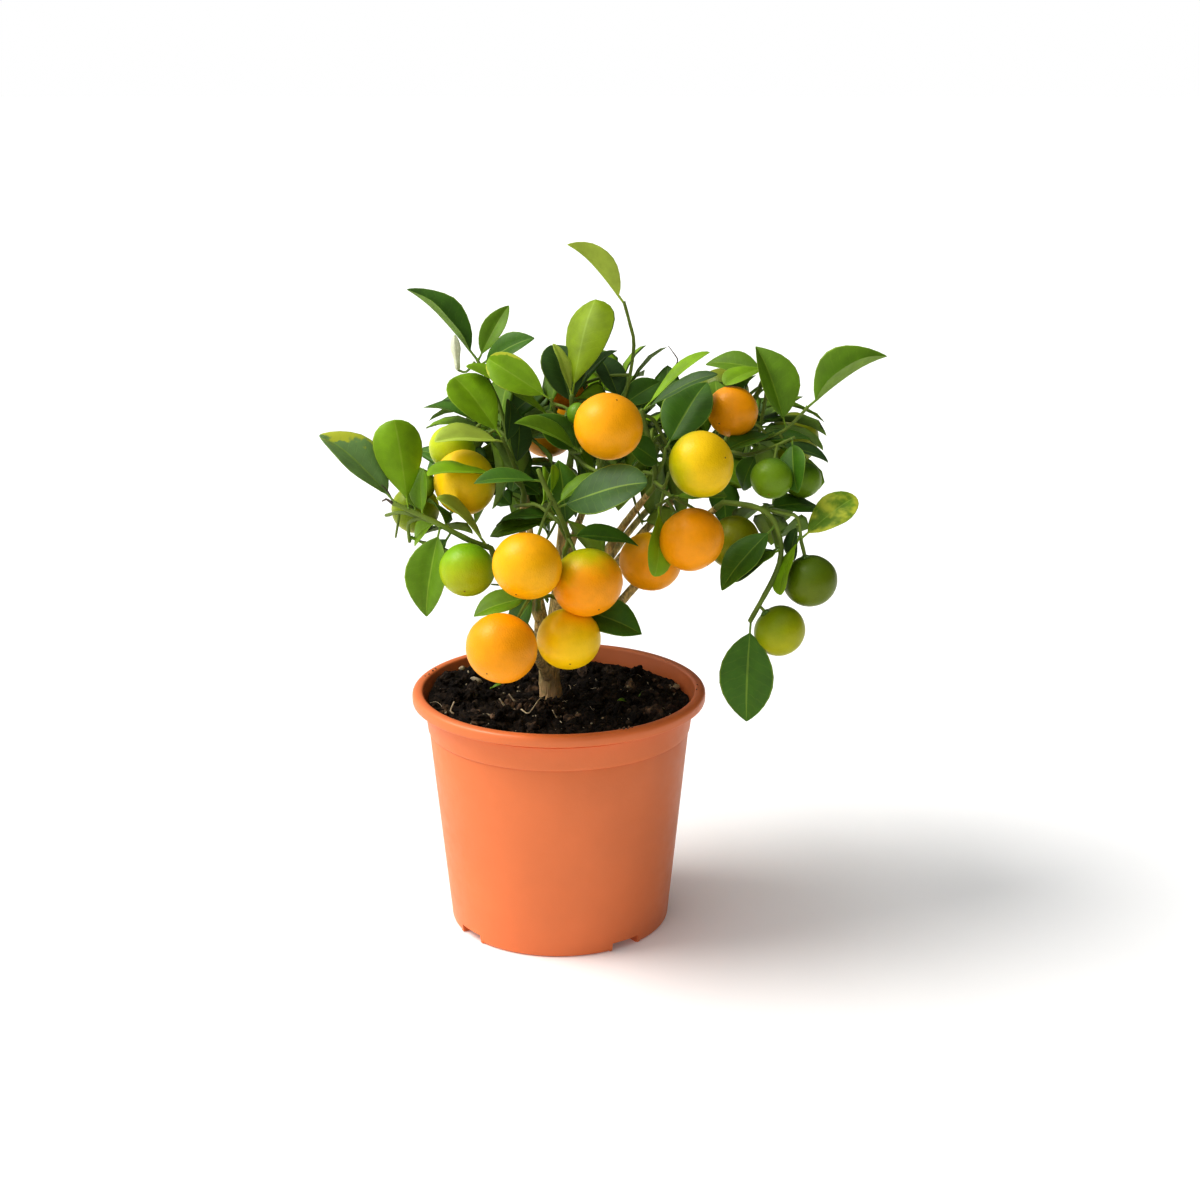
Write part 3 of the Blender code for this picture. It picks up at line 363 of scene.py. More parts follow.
# The seeded rule's ranges
FILL_SHOOT_STARTS = (0.2, 1.0)
FILL_SHOOT_BEND = 0.35
FILL_SHOOT_MIDDLE = 0.4
FILL_SHELL = (0.15, 0.60)
FILL_LEAVES = 6
FILL_LEAFY = 0.8
FILL_TRIES = 8
FILL_TURN = 137.5
FILL_SPREAD = (40, 72)
FILL_FIRST_SPREAD = 0.4
FILL_LIFT = 0.18
FILL_LENGTH = (32, 44)
FILL_SLENDERNESS = (0.46, 0.56)
FILL_ROLL = (-25, 25)
FILL_FOLD = (6, 26)
FILL_ARCH = (0.02, 0.10)
FILL_FRUIT_DIAMETER = (23, 31)
FILL_FRUIT_SHELL = (0.6, 0.9)
FILL_FRUIT_TRIES = 30

# The finer growth's ranges, used only here
FINE_SEED = 500
FINE_TWIGLETS = {True: 3, False: 9}
FINE_TWIGLET_STARTS = (0.25, 0.95)
FINE_TWIGLET_SPREAD = (35, 65)
FINE_TWIGLET_SAG = 0.04
FINE_TWIGLET_LENGTH = (12, 26)
FINE_TWIGLET_TRIES = 5
FINE_LEAF_STEP = {True: 11.0, False: 7.0}
FINE_LEAF_LENGTH = (19, 33)
FINE_LEAF_TRIES = 6
FINE_LEAFY = 0.85
FINE_SLENDERNESS = (0.50, 0.62)
FINE_ROLL = (20, 80)
FINE_REACH = {True: 0.78, False: 0.88}
FINE_FRONT = 0.1
FINE_FOOT_RADIUS = 0.8
FINE_TIP_RADIUS = 0.5
SPRAY_LOOKS = ("deep", "deep", "deep", "mid", "mid", "mid", "grey", "bright", "bright")
SPRAY_CHANGE = 0.3
# The looks of the fruit that the rule hangs
BACK_FRUIT_LOOKS = {
    "foliage_back_left": ("orange", "olive"),
    "foliage_back": ("lime", "gold"),
    "foliage_back_right": ("olive", "olive"),
}

# Leaves as they are drawn: strips across the blade and rows along it
SHOWN_COLUMNS = (-1, -0.95, -0.62, -0.3, -0.04, 0.04, 0.3, 0.62, 0.95, 1)
SHOWN_ROWS = 13
FINE_COLUMNS = (-1, -0.55, -0.05, 0.05, 0.55, 1)
FINE_ROWS = 6
PETIOLE_THICKNESS = 1.1
RIB_THICKNESS = 0.75
PETIOLE_SLIM = 0.8
LEAF_SOCKET = 0.3
CAMBER = 0.07
MARGIN_WAVE = 0.45
WAVE_START = 0.2
WAVE_SHARE = (0.3, 1.0)
WAVE_COUNT = (1.2, 2.4)
WAVE_LENGTH = 40
LEAF_TWIST = (-12, 12)
LEAF_CURL = {"margin": 3.0}

# Where a drawn leaf is widest, and how round its shoulders are
OUTLINES = {
    "fresh": (0.68, 1.0), "bright": (0.67, 1.02), "patch": (0.52, 0.82), "margin": (0.6, 0.8),
    "mottled": (0.60, 0.86), "grey": (0.56, 0.80), "young": (0.52, 0.74),
}
PLAIN_OUTLINE = (0.47, 0.80)
TIP_DROOP = 0.05
DROOP_START = 0.6

# Leaf looks: the colour of the upper face, as linear values
LEAF_LOOKS = {
    # young: the pale tone of new leaves, and partly painted light shining through them from behind
    "young": (0.46, 0.57, 0.090),
    "fresh": (0.245, 0.345, 0.004),
    "bright": (0.222, 0.385, 0.006),
    "mid": (0.138, 0.258, 0.007),
    "deep": (0.068, 0.172, 0.009),
    "grey": (0.054, 0.118, 0.024),
    # pale: a lighter, bluer green that paints the greyish sheen of the patch leaf into its colour
    "pale": (0.185, 0.310, 0.100),
    "yellow": (0.50, 0.54, 0.045),
}

# Two-coloured leaves: base look, and how much length, width, side and chance raise the second colour
PatternLook = namedtuple("PatternLook", "base along across side chance limit soft")
PATTERNS = {
    "patch": PatternLook("pale", 1.0, 0.2, 0.22, 0.45, 1.22, 0.05),
    "margin": PatternLook("bright", 0.6, 1.0, 0.0, 0.5, 1.62, 0.06),
    "mottled": PatternLook("mid", 0.35, 0.15, 0.1, 1.2, 0.86, 0.34),
}
LEAF_ROUGHNESS = {"grey": 0.48, "pale": 0.34, "deep": 0.45}
PLAIN_LEAF_ROUGHNESS = 0.48
UNDER_ROUGHNESS = 0.6
RIB_TINT = (0.36, 0.50, 0.06)
RIB_SHARE = 0.36
# The thin rim strip along each margin is painted lighter, towards the rib's tint, as a highlight where light
# shows through the edge
RIM_HIGHLIGHT_SHARE = 0.5
UNDER_COLOUR = (0.24, 0.36, 0.050)
UNDER_SHARE = 0.62

# Fruit looks: rind at the free end, rind round the stalk, and how far down that reaches
Rind = namedtuple("Rind", "free stalk reach")
FRUIT_LOOKS = {
    "orange": Rind((1.0, 0.41, 0.001), (1.0, 0.46, 0.001), 0.25),
    "red_orange": Rind((0.95, 0.28, 0.002), (0.95, 0.34, 0.002), 0.25),
    "amber": Rind((1.0, 0.42, 0.001), (0.95, 0.52, 0.001), 0.30),
    "gold": Rind((1.0, 0.46, 0.001), (0.97, 0.42, 0.001), 0.30),
    "sunny": Rind((1.0, 0.53, 0.001), (0.97, 0.48, 0.001), 0.45),
    "turning": Rind((1.0, 0.41, 0.001), (0.60, 0.60, 0.002), 0.50),
    "yellow": Rind((1.0, 0.66, 0.001), (0.74, 0.62, 0.002), 0.30),
    "pale": Rind((0.62, 0.70, 0.014), (0.50, 0.66, 0.014), 0.30),
    "lime": Rind((0.46, 0.47, 0.003), (0.27, 0.36, 0.003), 0.45),
    "olive_amber": Rind((0.58, 0.40, 0.002), (0.30, 0.32, 0.002), 0.60),
    "olive": Rind((0.26, 0.30, 0.003), (0.16, 0.24, 0.003), 0.50),
    "green": Rind((0.47, 0.54, 0.005), (0.26, 0.50, 0.008), 0.60),
    "dark_green": Rind((0.165, 0.220, 0.003), (0.125, 0.200, 0.003), 0.40),
    "leaf_green": Rind((0.20, 0.33, 0.010), (0.12, 0.25, 0.010), 0.40),
    "yellow_green": Rind((0.93, 0.62, 0.001), (0.50, 0.50, 0.002), 0.55),
    "bud_green": Rind((0.17, 0.33, 0.012), (0.17, 0.33, 0.012), 0.40),
}
FRUIT_COLUMNS = 32
FRUIT_ROWS = 22
DIMPLE_DEPTH = 0.045
DIMPLE_WIDTH = 0.30
FREE_END_DEPTH = 0.02
UNEVEN = 0.012
FRUIT_SEED = 7
CALYX_LOBES = 5
CALYX_RADIUS = 2.9
SMALL_FRUIT_RADIUS = 11
# Height above the dimple and share of the width, ring by ring
CALYX_RINGS = ((-0.9, 0.5), (0.35, 1.0), (0.75, 0.82), (1.5, 0.42))

# Twigs as they are drawn
TWIG_DRAWN_STEP = 4.0
TWIG_SIDES = 8
TWIG_SLIM = 0.82
NODE_SWELL = 0.22
BUD_RADIUS = 0.8
BALL_SIDES = 6
BALL_ROWS = 4

# Bark as it is drawn
LIMB_SIDES = 28
BOUGH_SIDES = 18
LIMB_STEP = 1.6
RIDGE_ROUND = 2.6
RIDGE_ALONG = 0.11
COLLAR_SWELL = 0.75
COLLAR_LENGTH = 5.0
TRUNK_SEED = 3.7
BOUGH_SEED = 11.3
BARK_STRETCH = 0.28
BARK_MOSS = (0.20, 0.23, 0.10)
BARK_SPECKS = (0.66, 0.60, 0.42)
BARK_FOOT_HEIGHTS = (0.135, 0.120)

# Bits that show by themselves, each on what carries it
BLOSSOM_FOOT = (-49.4, 12.0, 286.5)
BLOSSOM_TIP = (-50.6, 10.0, 304.0)
BLOSSOM_STALK = ((-41.0, 12.0, 290.5), (-45.5, 12.6, 285.5), BLOSSOM_FOOT)
BLOSSOM_STALK_RADII = (0.7, 0.55, 0.6)
BLOSSOM_RADIUS = 2.4
BLOSSOM_SWELL = (0.35, 0.55, 0.6, 0.62, 0.7, 0.85, 1.0, 1.0, 0.9, 0.65, 0.3)
BLOSSOM_SIDES = 20
BLOSSOM_PETALS = 5
FINE_STALK_STEP = 1.5
DRY_BITS = (
    (((-78.5, -30, 228), (-82.5, -30, 231), (-84.5, -30, 230)), 0.8),
    (((-79, -30, 229), (-82, -29, 235), (-84.6, -30, 238)), 0.55),
    (((57, 36, 281), (60.5, 40, 286), (58.5, 40, 290), (55.5, 40, 294)), 0.4),
)

# Soil as it is drawn. The heap of fine crumbs before the trunk, and the soil banked against the
# left wall: place, radius and height
SOIL_SEGMENTS = 288
SOIL_RINGS = 84
MOUND = (-10.5, -14.0, 12.0, 5.0)
BANK = (-58.0, 26.0, 16.0, 3.4)
SOIL_TILT = 1.9
SOIL_SEED = 21
CLOD_SEED = 5
MOUND_CRUMBS = 520
FIBRE_SIDES = 6
FIBRE_STEP = 1.2

# What lies on the soil where it shows: grains and rim crumbs with their radius, fibres with
# their radius and their height over the clods, and green bits with their length and bearing
SHOWN_GRAINS = (
    (-42.8, 46.7, 1.5), (-52.0, 36.7, 1.9), (-58.0, 26.1, 1.6), (-43.5, 20.0, 2.1), (-36.0, -31.3, 2.0),
    (61.0, 20.7, 1.7), (58.4, 19.1, 1.2), (35.6, 17.5, 1.0), (42.6, -1.1, 0.8), (-48.0, 28.0, 1.0),
)
RIM_CRUMBS = (
    (32.5, -63.5, 1.0), (35.0, -61.2, 0.8), (30.6, -63.6, 0.6), (36.6, -61.4, 0.6), (34.4, -63.4, 0.45),
    (-66.6, 24.5, 0.6), (-68.2, 19.0, 0.45), (-65.6, 28.0, 0.7), (-69.9, 16.0, 0.3), (70.3, -5.5, 0.4),
    (71.0, 2.0, 0.3),
)
SHOWN_FIBRES = (
    (0.70, ((-24.3, -24.5, 1.5), (-26.6, -24.2, 5.6), (-29.4, -24.0, 10.2))),
    (0.60, ((-21.9, -16.4, 2.5), (-23.3, -16.0, 5.0), (-25.0, -15.8, 7.6))),
    (0.45, ((-18.4, -27.9, 2.6), (-14.4, -32.5, 2.2), (-9.3, -23.0, 2.6), (-6.7, -17.0, 2.4))),
    (0.42, ((-2.9, -26.8, 2.4), (-0.8, -32.0, 2.2), (2.1, -42.0, 2.0))),
    (0.62, ((-51.8, -32.5, 0.8), (-53.4, -31.5, 3.6), (-51.6, -31.0, 7.0))),
    (0.40, ((-44.6, 17.0, 1.8), (-45.4, 9.0, 1.8), (-47.5, 3.0, 1.4))),
)
GREEN_BITS = ((-36.0, 13.5, 6.5, 10), (40.0, 2.0, 9.0, 40), (36.0, -5.0, 8.0, 215), (44.0, 6.0, 6.0, 80))

# Soil looks: how much lighter than the soil's own colours
SOIL_SHADES = {
    "soil": 1.0, "peat_dark": 0.8, "peat": 1.6, "peat_brown": 3.2, "peat_light": 6.0, "peat_dry": 9.0,
}

# Looks of the small parts, with the size of their blotches and how far these go from the colour
PlainLook = namedtuple("PlainLook", "colour roughness scale contrast", defaults=(300.0, 0.25))
PLAIN_LOOKS = {
    "bud": PlainLook((0.20, 0.34, 0.05), 0.5),
    "calyx": PlainLook((0.13, 0.23, 0.04), 0.6),
    "scar": PlainLook((0.26, 0.13, 0.015), 0.8),
    "petal": PlainLook((0.80, 0.82, 0.62), 0.55, 500.0, 0.08),
    "blossom_stalk": PlainLook((0.30, 0.42, 0.10), 0.55),
    "dry_bit": PlainLook((0.13, 0.10, 0.07), 0.85),
    "perlite": PlainLook((0.40, 0.33, 0.23), 0.85, 900.0, 0.3),
    "root_fibre": PlainLook((0.60, 0.49, 0.33), 0.7, 700.0, 0.2),
}

# Camera and light, in metres and degrees
CAMERA_PLACE = (0.021, -1.005, 0.471)
CAMERA_PITCH = 0.290
SENSOR = 36.0
PHOTO_PIXELS = 1200
FOCAL_PIXELS = 2072.0
FLOOR_SIZE = 16.0
FLOOR_COLOUR = (0.95, 0.95, 0.95)
FLOOR_LIFT = 0.09
FILL_COLOUR = (0.98, 0.99, 1.0)
KEY_COLOUR = (1.0, 0.98, 0.95)
KEY_BEARING = 181.0
KEY_RISE = 52.0
BRIGHT_BEARING = 190.0
BRIGHT_RISE = 35.0
BRIGHT_SPREAD = (-0.25, 0.95)
VIEW_GAMMA = 0.82


class OrangeTreeSizes(bpy.types.PropertyGroup):
    """Sizes and counts of what is made round the frame."""

    pot_segments: bpy.props.IntProperty(
        name="Pot segments", description="Faces round the pot", default=144, min=36
    )
    leaf_thickness: bpy.props.FloatProperty(
        name="Leaf thickness", description="Thickness of a leaf's blade", default=0.00032, unit="LENGTH"
    )
    soil_roughness: bpy.props.FloatProperty(
        name="Soil clods", description="Height of the soil's clods", default=0.0028, unit="LENGTH"
    )
    crumbs: bpy.props.IntProperty(
        name="Soil crumbs", description="Loose crumbs on the soil", default=1500, min=0
    )
    crumb_size: bpy.props.FloatProperty(
        name="Crumb size", description="Radius of the largest crumb", default=0.0042, unit="LENGTH"
    )
    perlite: bpy.props.IntProperty(
        name="Perlite grains", description="Pale grains in the soil", default=110, min=0
    )
    fibres: bpy.props.IntProperty(
        name="Root fibres", description="Pale fibres on the soil", default=26, min=0
    )
    bark_relief: bpy.props.FloatProperty(
        name="Bark relief", description="Depth of the bark's ridges as a share of the limb's radius",
        default=0.085
    )


class OrangeTreeColours(bpy.types.PropertyGroup):
    """Colours that a user would change, as linear values."""

    pot: bpy.props.FloatVectorProperty(
        name="Pot", description="The pot's plastic",
        default=(0.80, 0.225, 0.066), size=3, subtype="COLOR"
    )
    soil: bpy.props.FloatVectorProperty(
        name="Soil", description="Damp peat", default=(0.0125, 0.0085, 0.0062), size=3, subtype="COLOR"
    )
    soil_dry: bpy.props.FloatVectorProperty(
        name="Dry soil", description="Peat where it has dried",
        default=(0.060, 0.038, 0.023), size=3, subtype="COLOR"
    )
    bark: bpy.props.FloatVectorProperty(
        name="Bark", description="Bark of trunk and boughs",
        default=(0.55, 0.41, 0.17), size=3, subtype="COLOR"
    )
    bark_foot: bpy.props.FloatVectorProperty(
        name="Bark at the foot", description="Bark near the soil",
        default=(0.62, 0.42, 0.22), size=3, subtype="COLOR"
    )
    twig: bpy.props.FloatVectorProperty(
        name="Twigs", description="Bark of green twigs",
        default=(0.215, 0.300, 0.045), size=3, subtype="COLOR"
    )


class OrangeTreeStage(bpy.types.PropertyGroup):
    """The studio light: the key and the surround."""

    key_strength: bpy.props.FloatProperty(
        name="Key light", description="Strength of the soft key light", default=2.3
    )
    key_angle: bpy.props.FloatProperty(
        name="Key softness", description="Angle that the key light fills",
        default=math.radians(34), subtype="ANGLE"
    )
    bright_side: bpy.props.FloatProperty(
        name="Bright side", description="Strength of the surround on the side of the key light",
        default=1.12
    )
    dark_side: bpy.props.FloatProperty(
        name="Dark side", description="Strength of the surround on the far side", default=0.08
    )


def heading(bearing, rise):
    """The unit vector that points along a bearing and a rise."""
    b, r = math.radians(bearing), math.radians(rise)
    return Vector((math.cos(b) * math.cos(r), math.sin(b) * math.cos(r), math.sin(r)))


class Blade:
    """One leaf in place: a foot on its twig, a midrib that arches, and two folded halves."""

    def __init__(self, look, foot, along, length, width, roll, fold, arch, stations):
        self.look = look
        self.foot = foot
        self.along = along.normalized()
        self.length = length
        self.half = width / 2
        upright = Vector((0, 0, 1)) - self.along * self.along.z
        towards = math.copysign(1, self.along.x)
        self.up = Quaternion(self.along, math.radians(roll * towards)) @ upright.normalized()
        self.side = self.along.cross(self.up)
        self.fold = math.radians(fold)
        self.arch = arch
        self.stations = stations

    def shape(self, u):
        """The blade's half width beyond its petiole, as a share of the widest."""
        t = (u - PETIOLE_SHARE) / (1 - PETIOLE_SHARE)
        tail = ROUNDNESS * (1 - WIDEST_SHARE) / WIDEST_SHARE
        return (t / WIDEST_SHARE) ** ROUNDNESS * ((1 - t) / (1 - WIDEST_SHARE)) ** tail

    def half_width(self, u):
        """Half the leaf's width at a share u of its length."""
        if u <= PETIOLE_SHARE:
            return PETIOLE_HALF_WIDTH
        return max(PETIOLE_HALF_WIDTH, self.half * self.shape(u))

    def midrib(self, u):
        """The point of the midrib at a share u of the leaf's length."""
        return self.foot + self.length * (self.along * u + self.up * self.arch * 4 * u * (1 - u))

    def edge(self, u, hand, swell=0.0):
        """The point of the leaf's margin, on the hand +1 or -1."""
        out = self.side * hand * math.cos(self.fold) + self.up * math.sin(self.fold)
        return self.midrib(u) + (self.half_width(u) + swell) * out


def leaf_solid(blade, swell=0.0, first=0.0):
    """The leaf as a closed lens, for tests of what it would touch."""
    bm = bmesh.new()
    rings = len(blade.stations) + 1
    bmesh.ops.create_uvsphere(bm, u_segments=4, v_segments=rings, radius=1)
    half_thick = LEAF_THICKNESS / 2 + swell
    foot = None
    for vert in bm.verts:
        place = vert.co.copy()
        ring = round(math.acos(max(-1, min(1, -place.z))) / math.pi * rings)
        if ring == rings:
            vert.co = blade.midrib(1.0)
        elif ring == 0:
            foot = vert
        elif abs(place.x) > abs(place.y):
            vert.co = blade.edge(max(blade.stations[ring - 1], first), math.copysign(1, place.x), swell)
        else:
            u = max(blade.stations[ring - 1], first)
            vert.co = blade.midrib(u) + blade.up * math.copysign(half_thick, -place.y)
    bmesh.ops.dissolve_verts(bm, verts=[foot])
    return bm


def fruit_solid(fruit, swell=0.0):
    """The fruit as a ball a little flattened from top to bottom, for tests of what it would touch."""
    bm = bmesh.new()
    radius = fruit.diameter / 2 + swell
    bmesh.ops.create_uvsphere(bm, u_segments=FRUIT_SEGMENTS, v_segments=FRUIT_RINGS, radius=radius)
    bmesh.ops.scale(bm, vec=(1, 1, FRUIT_FLATNESS), verts=bm.verts)
    bmesh.ops.translate(bm, vec=fruit.centre, verts=bm.verts)
    return bm


def resampled(way, radii, step):
    """A smooth curve through a way's points, about a step apart, and the radius at each point."""
    points = [Vector(p) for p in way]
    ends = [2 * points[0] - points[1], *points, 2 * points[-1] - points[-2]]
    made, made_radii = [], []
    for i in range(len(points) - 1):
        before, a, b, after = ends[i:i + 4]
        count = max(1, round((b - a).length / step))
        for k in range(count):
            t = k / count
            made.append(
                0.5 * ((2 * a) + (b - before) * t + (2 * before - 5 * a + 4 * b - after) * t * t
                       + (3 * a - before - 3 * b + after) * t ** 3)
            )
            made_radii.append(radii[i] + (radii[i + 1] - radii[i]) * t)
    return [*made, points[-1]], [*made_radii, radii[-1]]


def smooth_way(points, step=TWIG_STEP):
    """Points about a step apart on a smooth curve through the given points."""
    return resampled(points, [0.0] * len(points), step)[0]


def along_way(way, share):
    """The point at a share of a way's length, short of its tip, and the way's heading there."""
    lengths = [(b - a).length for a, b in zip(way, way[1:])]
    left = min(share * sum(lengths), sum(lengths) - LEAF_SINK)
    for a, b, length in zip(way, way[1:], lengths):
        if left <= length:
            return a.lerp(b, left / length), (b - a).normalized()
        left -= length
    return way[-1].copy(), (way[-1] - way[-2]).normalized()


def taper(way, first, last):
    """A radius for each point of a way, from its foot to its tip."""
    return [first + (last - first) * k / (len(way) - 1) for k in range(len(way))]


def tube_mesh(name, way, radii, bevel_resolution):
    """A closed tube round a way in millimetres, as a mesh with its caps welded."""
    curve = bpy.data.curves.new(name, "CURVE")
    curve.dimensions = "3D"
    curve.bevel_depth = 1.0
    curve.bevel_resolution = bevel_resolution
    curve.use_fill_caps = True
    spline = curve.splines.new("POLY")
    spline.points.add(len(way) - 1)
    for point, place, radius in zip(spline.points, way, radii):
        point.co = (*place, 1)
        point.radius = radius
    tube = bpy.data.objects.new(name, curve)
    bpy.context.scene.collection.objects.link(tube)
    graph = bpy.context.evaluated_depsgraph_get()
    mesh = bpy.data.meshes.new_from_object(tube.evaluated_get(graph))
    bpy.data.objects.remove(tube)
    bpy.data.curves.remove(curve)
    bm = bmesh.new()
    bm.from_mesh(mesh)
    bmesh.ops.remove_doubles(bm, verts=bm.verts, dist=0.001)
    bmesh.ops.recalc_face_normals(bm, faces=bm.faces)
    bm.to_mesh(mesh)
    bm.free()
    return mesh


def mesh_of(bm, name):
    """A mesh data-block made from a bmesh, which is then freed."""
    mesh = bpy.data.meshes.new(name)
    bmesh.ops.recalc_face_normals(bm, faces=bm.faces)
    bm.to_mesh(mesh)
    bm.free()
    return mesh


class Surface:
    """Faces that later pieces must keep clear of, with a search tree over them."""

    def __init__(self):
        self.points, self.faces, self.tree = [], [], None

    def add(self, mesh):
        start = len(self.points)
        self.points += [v.co.copy() for v in mesh.vertices]
        self.faces += [[start + i for i in face.vertices] for face in mesh.polygons]
        self.tree = None
        bpy.data.meshes.remove(mesh)

    def meets(self, tree):
        if not self.faces:
            return False
        if self.tree is None:
            self.tree = BVHTree.FromPolygons(self.points, self.faces)
        return bool(self.tree.overlap(tree))


def tree_of(bm):
    """The search tree of a bmesh, which is then freed."""
    tree = BVHTree.FromBMesh(bm)
    bm.free()
    return tree


def mesh_tree(mesh):
    """The search tree of a mesh, which is then removed."""
    tree = BVHTree.FromPolygons([v.co for v in mesh.vertices], [list(f.vertices) for f in mesh.polygons])
    bpy.data.meshes.remove(mesh)
    return tree


class Crown:
    """Every mass as it grows: its wood, leaves and fruit, and what they must clear."""

    def __init__(self, limb_meshes):
        self.limbs = Surface()
        for mesh in limb_meshes:
            self.limbs.add(mesh)
        self.wood = {mass.name: Surface() for mass in MASSES}
        self.green = {mass.name: Surface() for mass in MASSES}
        self.ways = {mass.name: [] for mass in MASSES}
        self.blades = {mass.name: [] for mass in MASSES}
        self.fruits = {mass.name: [] for mass in MASSES}

    def met(self, mass, tree):
        """Whether a shape meets a limb or another mass."""
        if self.limbs.meets(tree):
            return True
        others = [name for name in self.wood if name != mass.name]
        return any(self.wood[name].meets(tree) or self.green[name].meets(tree) for name in others)

    def own_met(self, mass, tree):
        return self.green[mass.name].meets(tree) or self.wood[mass.name].meets(tree)

    def add_stem(self, mass, way, radii):
        self.wood[mass.name].add(tube_mesh(mass.name, way, radii, TWIG_SIDES_4))
        self.ways[mass.name].append((way, radii))

    def add_twig(self, mass, way, radii):
        """Adds a twig unless it would touch what it must clear, and says whether it did."""
        swollen = [r + CLEAR_SWELL for r in radii]
        free = mesh_tree(tube_mesh("probe", way[1:], swollen[1:], TWIG_SIDES_4)) if len(way) > 2 else None
        if free and self.own_met(mass, free):
            return False
        if self.met(mass, mesh_tree(tube_mesh("probe", way, swollen, TWIG_SIDES_4))):
            return False
        self.add_stem(mass, way, radii)
        return True

    def add_leaf(self, mass, blade, alone=True):
        """Adds a leaf unless it would touch what it must clear, and says whether it did."""
        if alone and self.own_met(mass, tree_of(leaf_solid(blade, CLEAR_SWELL / 2, SINK_SHARE))):
            return False
        if self.met(mass, tree_of(leaf_solid(blade, CLEAR_SWELL))):
            return False
        self.green[mass.name].add(mesh_of(leaf_solid(blade), mass.name))
        self.blades[mass.name].append(blade)
        return True

    def add_fruit(self, mass, fruit):
        """Adds a fruit and its stalk unless one would touch what it must clear."""
        tree = tree_of(fruit_solid(fruit, CLEAR_SWELL))
        if self.own_met(mass, tree) or self.met(mass, tree):
            return False
        way = self.stalk_way(mass, fruit)
        if not self.add_twig(mass, way, [STALK_RADIUS] * len(way)):
            return False
        self.green[mass.name].add(mesh_of(fruit_solid(fruit), mass.name))
        self.fruits[mass.name].append((fruit, way))
        return True

    def stalk_way(self, mass, fruit):
        """The way of a fruit's stalk, from the nearest wood of its mass to just inside the fruit."""
        centre = Vector(fruit.centre)
        ways = [smooth_way(way, STALK_STEP)[STALK_FREE:] for way, _ in self.ways[mass.name]]
        wood = [point for way in ways for point in way]
        start = min(wood, key=lambda p: (p - centre).length - STALK_LIFT * (p.z - centre.z))
        out = (start - centre).normalized()
        inside = centre + out * (fruit.diameter / 2 * FRUIT_FLATNESS - STALK_SINK)
        arch = Vector((0, 0, STALK_ARCH * (inside - start).length))
        return [start, start.lerp(inside, 0.5) + arch, inside]


def past(way, distance):
    """The point a distance beyond a way's tip."""
    return way[-1] + (way[-1] - way[-2]).normalized() * distance


def bough_way(bough):
    """The way of a bough: from inside the trunk, or from a gap past the trunk's tip."""
    if bough.grows_from == "trunk":
        return smooth_way(bough.way)
    trunk_way = [Vector(p) for p in TRUNK_WAY]
    return [past(trunk_way, GAP), past(trunk_way, 3.0), *smooth_way(bough.way)[1:]]


def bough_of(mass):
    return next(b for b in BOUGHS if b.name == mass.bough)


def stem_way(mass):
    """The way of a mass's stem: it starts a gap past its bough's tip and goes on along the bough."""
    way = bough_way(bough_of(mass))
    return [past(way, GAP), *smooth_way([past(way, 4.0), *mass.stem])]


def limb_meshes():
    """The trunk and boughs as plain tubes, which the growth keeps clear of."""
    trunk_way = [Vector(p) for p in TRUNK_WAY]
    meshes = [tube_mesh("trunk", trunk_way, TRUNK_RADII, LIMB_SIDES_8)]
    for bough in BOUGHS:
        way = bough_way(bough)
        radii = taper(way, bough.foot_radius, bough.tip_radius)
        meshes.append(tube_mesh(bough.name, way, radii, LIMB_SIDES_6))
    return meshes


def grow_shown(crown):
    """The stems, shoots, fruit and leaves that are set out one by one."""
    for mass in MASSES:
        stem = stem_way(mass)
        crown.add_stem(mass, stem, taper(stem, bough_of(mass).tip_radius, STEM_TIP_RADIUS))
        for shoot in mass.shoots:
            way = smooth_way([along_way(stem, shoot.at)[0], *shoot.way])
            crown.add_twig(mass, way, taper(way, SHOOT_FOOT_RADIUS, SHOOT_TIP_RADIUS))
    for mass in MASSES:
        for fruit in mass.fruits:
            crown.add_fruit(mass, fruit)
    for mass in MASSES:
        stem = stem_way(mass)
        ways = [stem] + [smooth_way([along_way(stem, s.at)[0], *s.way]) for s in mass.shoots]
        for way, leaves in zip(ways, [mass.leaves] + [s.leaves for s in mass.shoots]):
            for leaf in leaves:
                any(crown.add_leaf(mass, turned, False) for turned in shown_blades(way, leaf))


def shown_blades(way, leaf):
    """A leaf as it is set out, then turned a little further each time, until it clears its neighbours."""
    foot, _ = along_way(way, leaf.at)
    for size, (roll, bearing, rise) in SHOWN_TURNS:
        yield Blade(
            leaf.look, foot, heading(leaf.bearing + bearing, leaf.rise + rise), leaf.length * size,
            leaf.width * size, leaf.roll + roll, leaf.fold, leaf.arch, SHOWN_STATIONS
        )


def point_in_heart(heart, draw, inner, outer):
    """A drawn point of a mass's heart, between two shares of its reach."""
    bearing, height = draw.uniform(0, 360), draw.uniform(-1, 1)
    share = draw.uniform(inner, outer)
    flat = math.sqrt(1 - height * height)
    turn = math.radians(bearing)
    unit = Vector((math.cos(turn) * flat, math.sin(turn) * flat, height))
    return Vector(heart.centre) + Vector(a * b for a, b in zip(unit * share, heart.reach))


def inside_heart(heart, point):
    """Whether a point lies inside a mass's own space."""
    return sum(((p - c) / r) ** 2 for p, c, r in zip(point, heart.centre, heart.reach)) < 1


def spray_looks(seed):
    """Looks dealt out by spray: each leaf mostly keeps the look of the one before."""
    draw = random.Random(seed)
    look = draw.choice(SPRAY_LOOKS)
    while True:
        if draw.random() < SPRAY_CHANGE:
            look = draw.choice(SPRAY_LOOKS)
        yield look


def leaf_heading(tangent, turn, tilt):
    """Where a leaf points: turned round its twig and tilted off it, with a little lift to the light."""
    across = tangent.orthogonal().normalized()
    across.rotate(Quaternion(tangent, math.radians(turn)))
    return tangent * math.cos(tilt) + across * math.sin(tilt) + Vector((0, 0, FILL_LIFT))


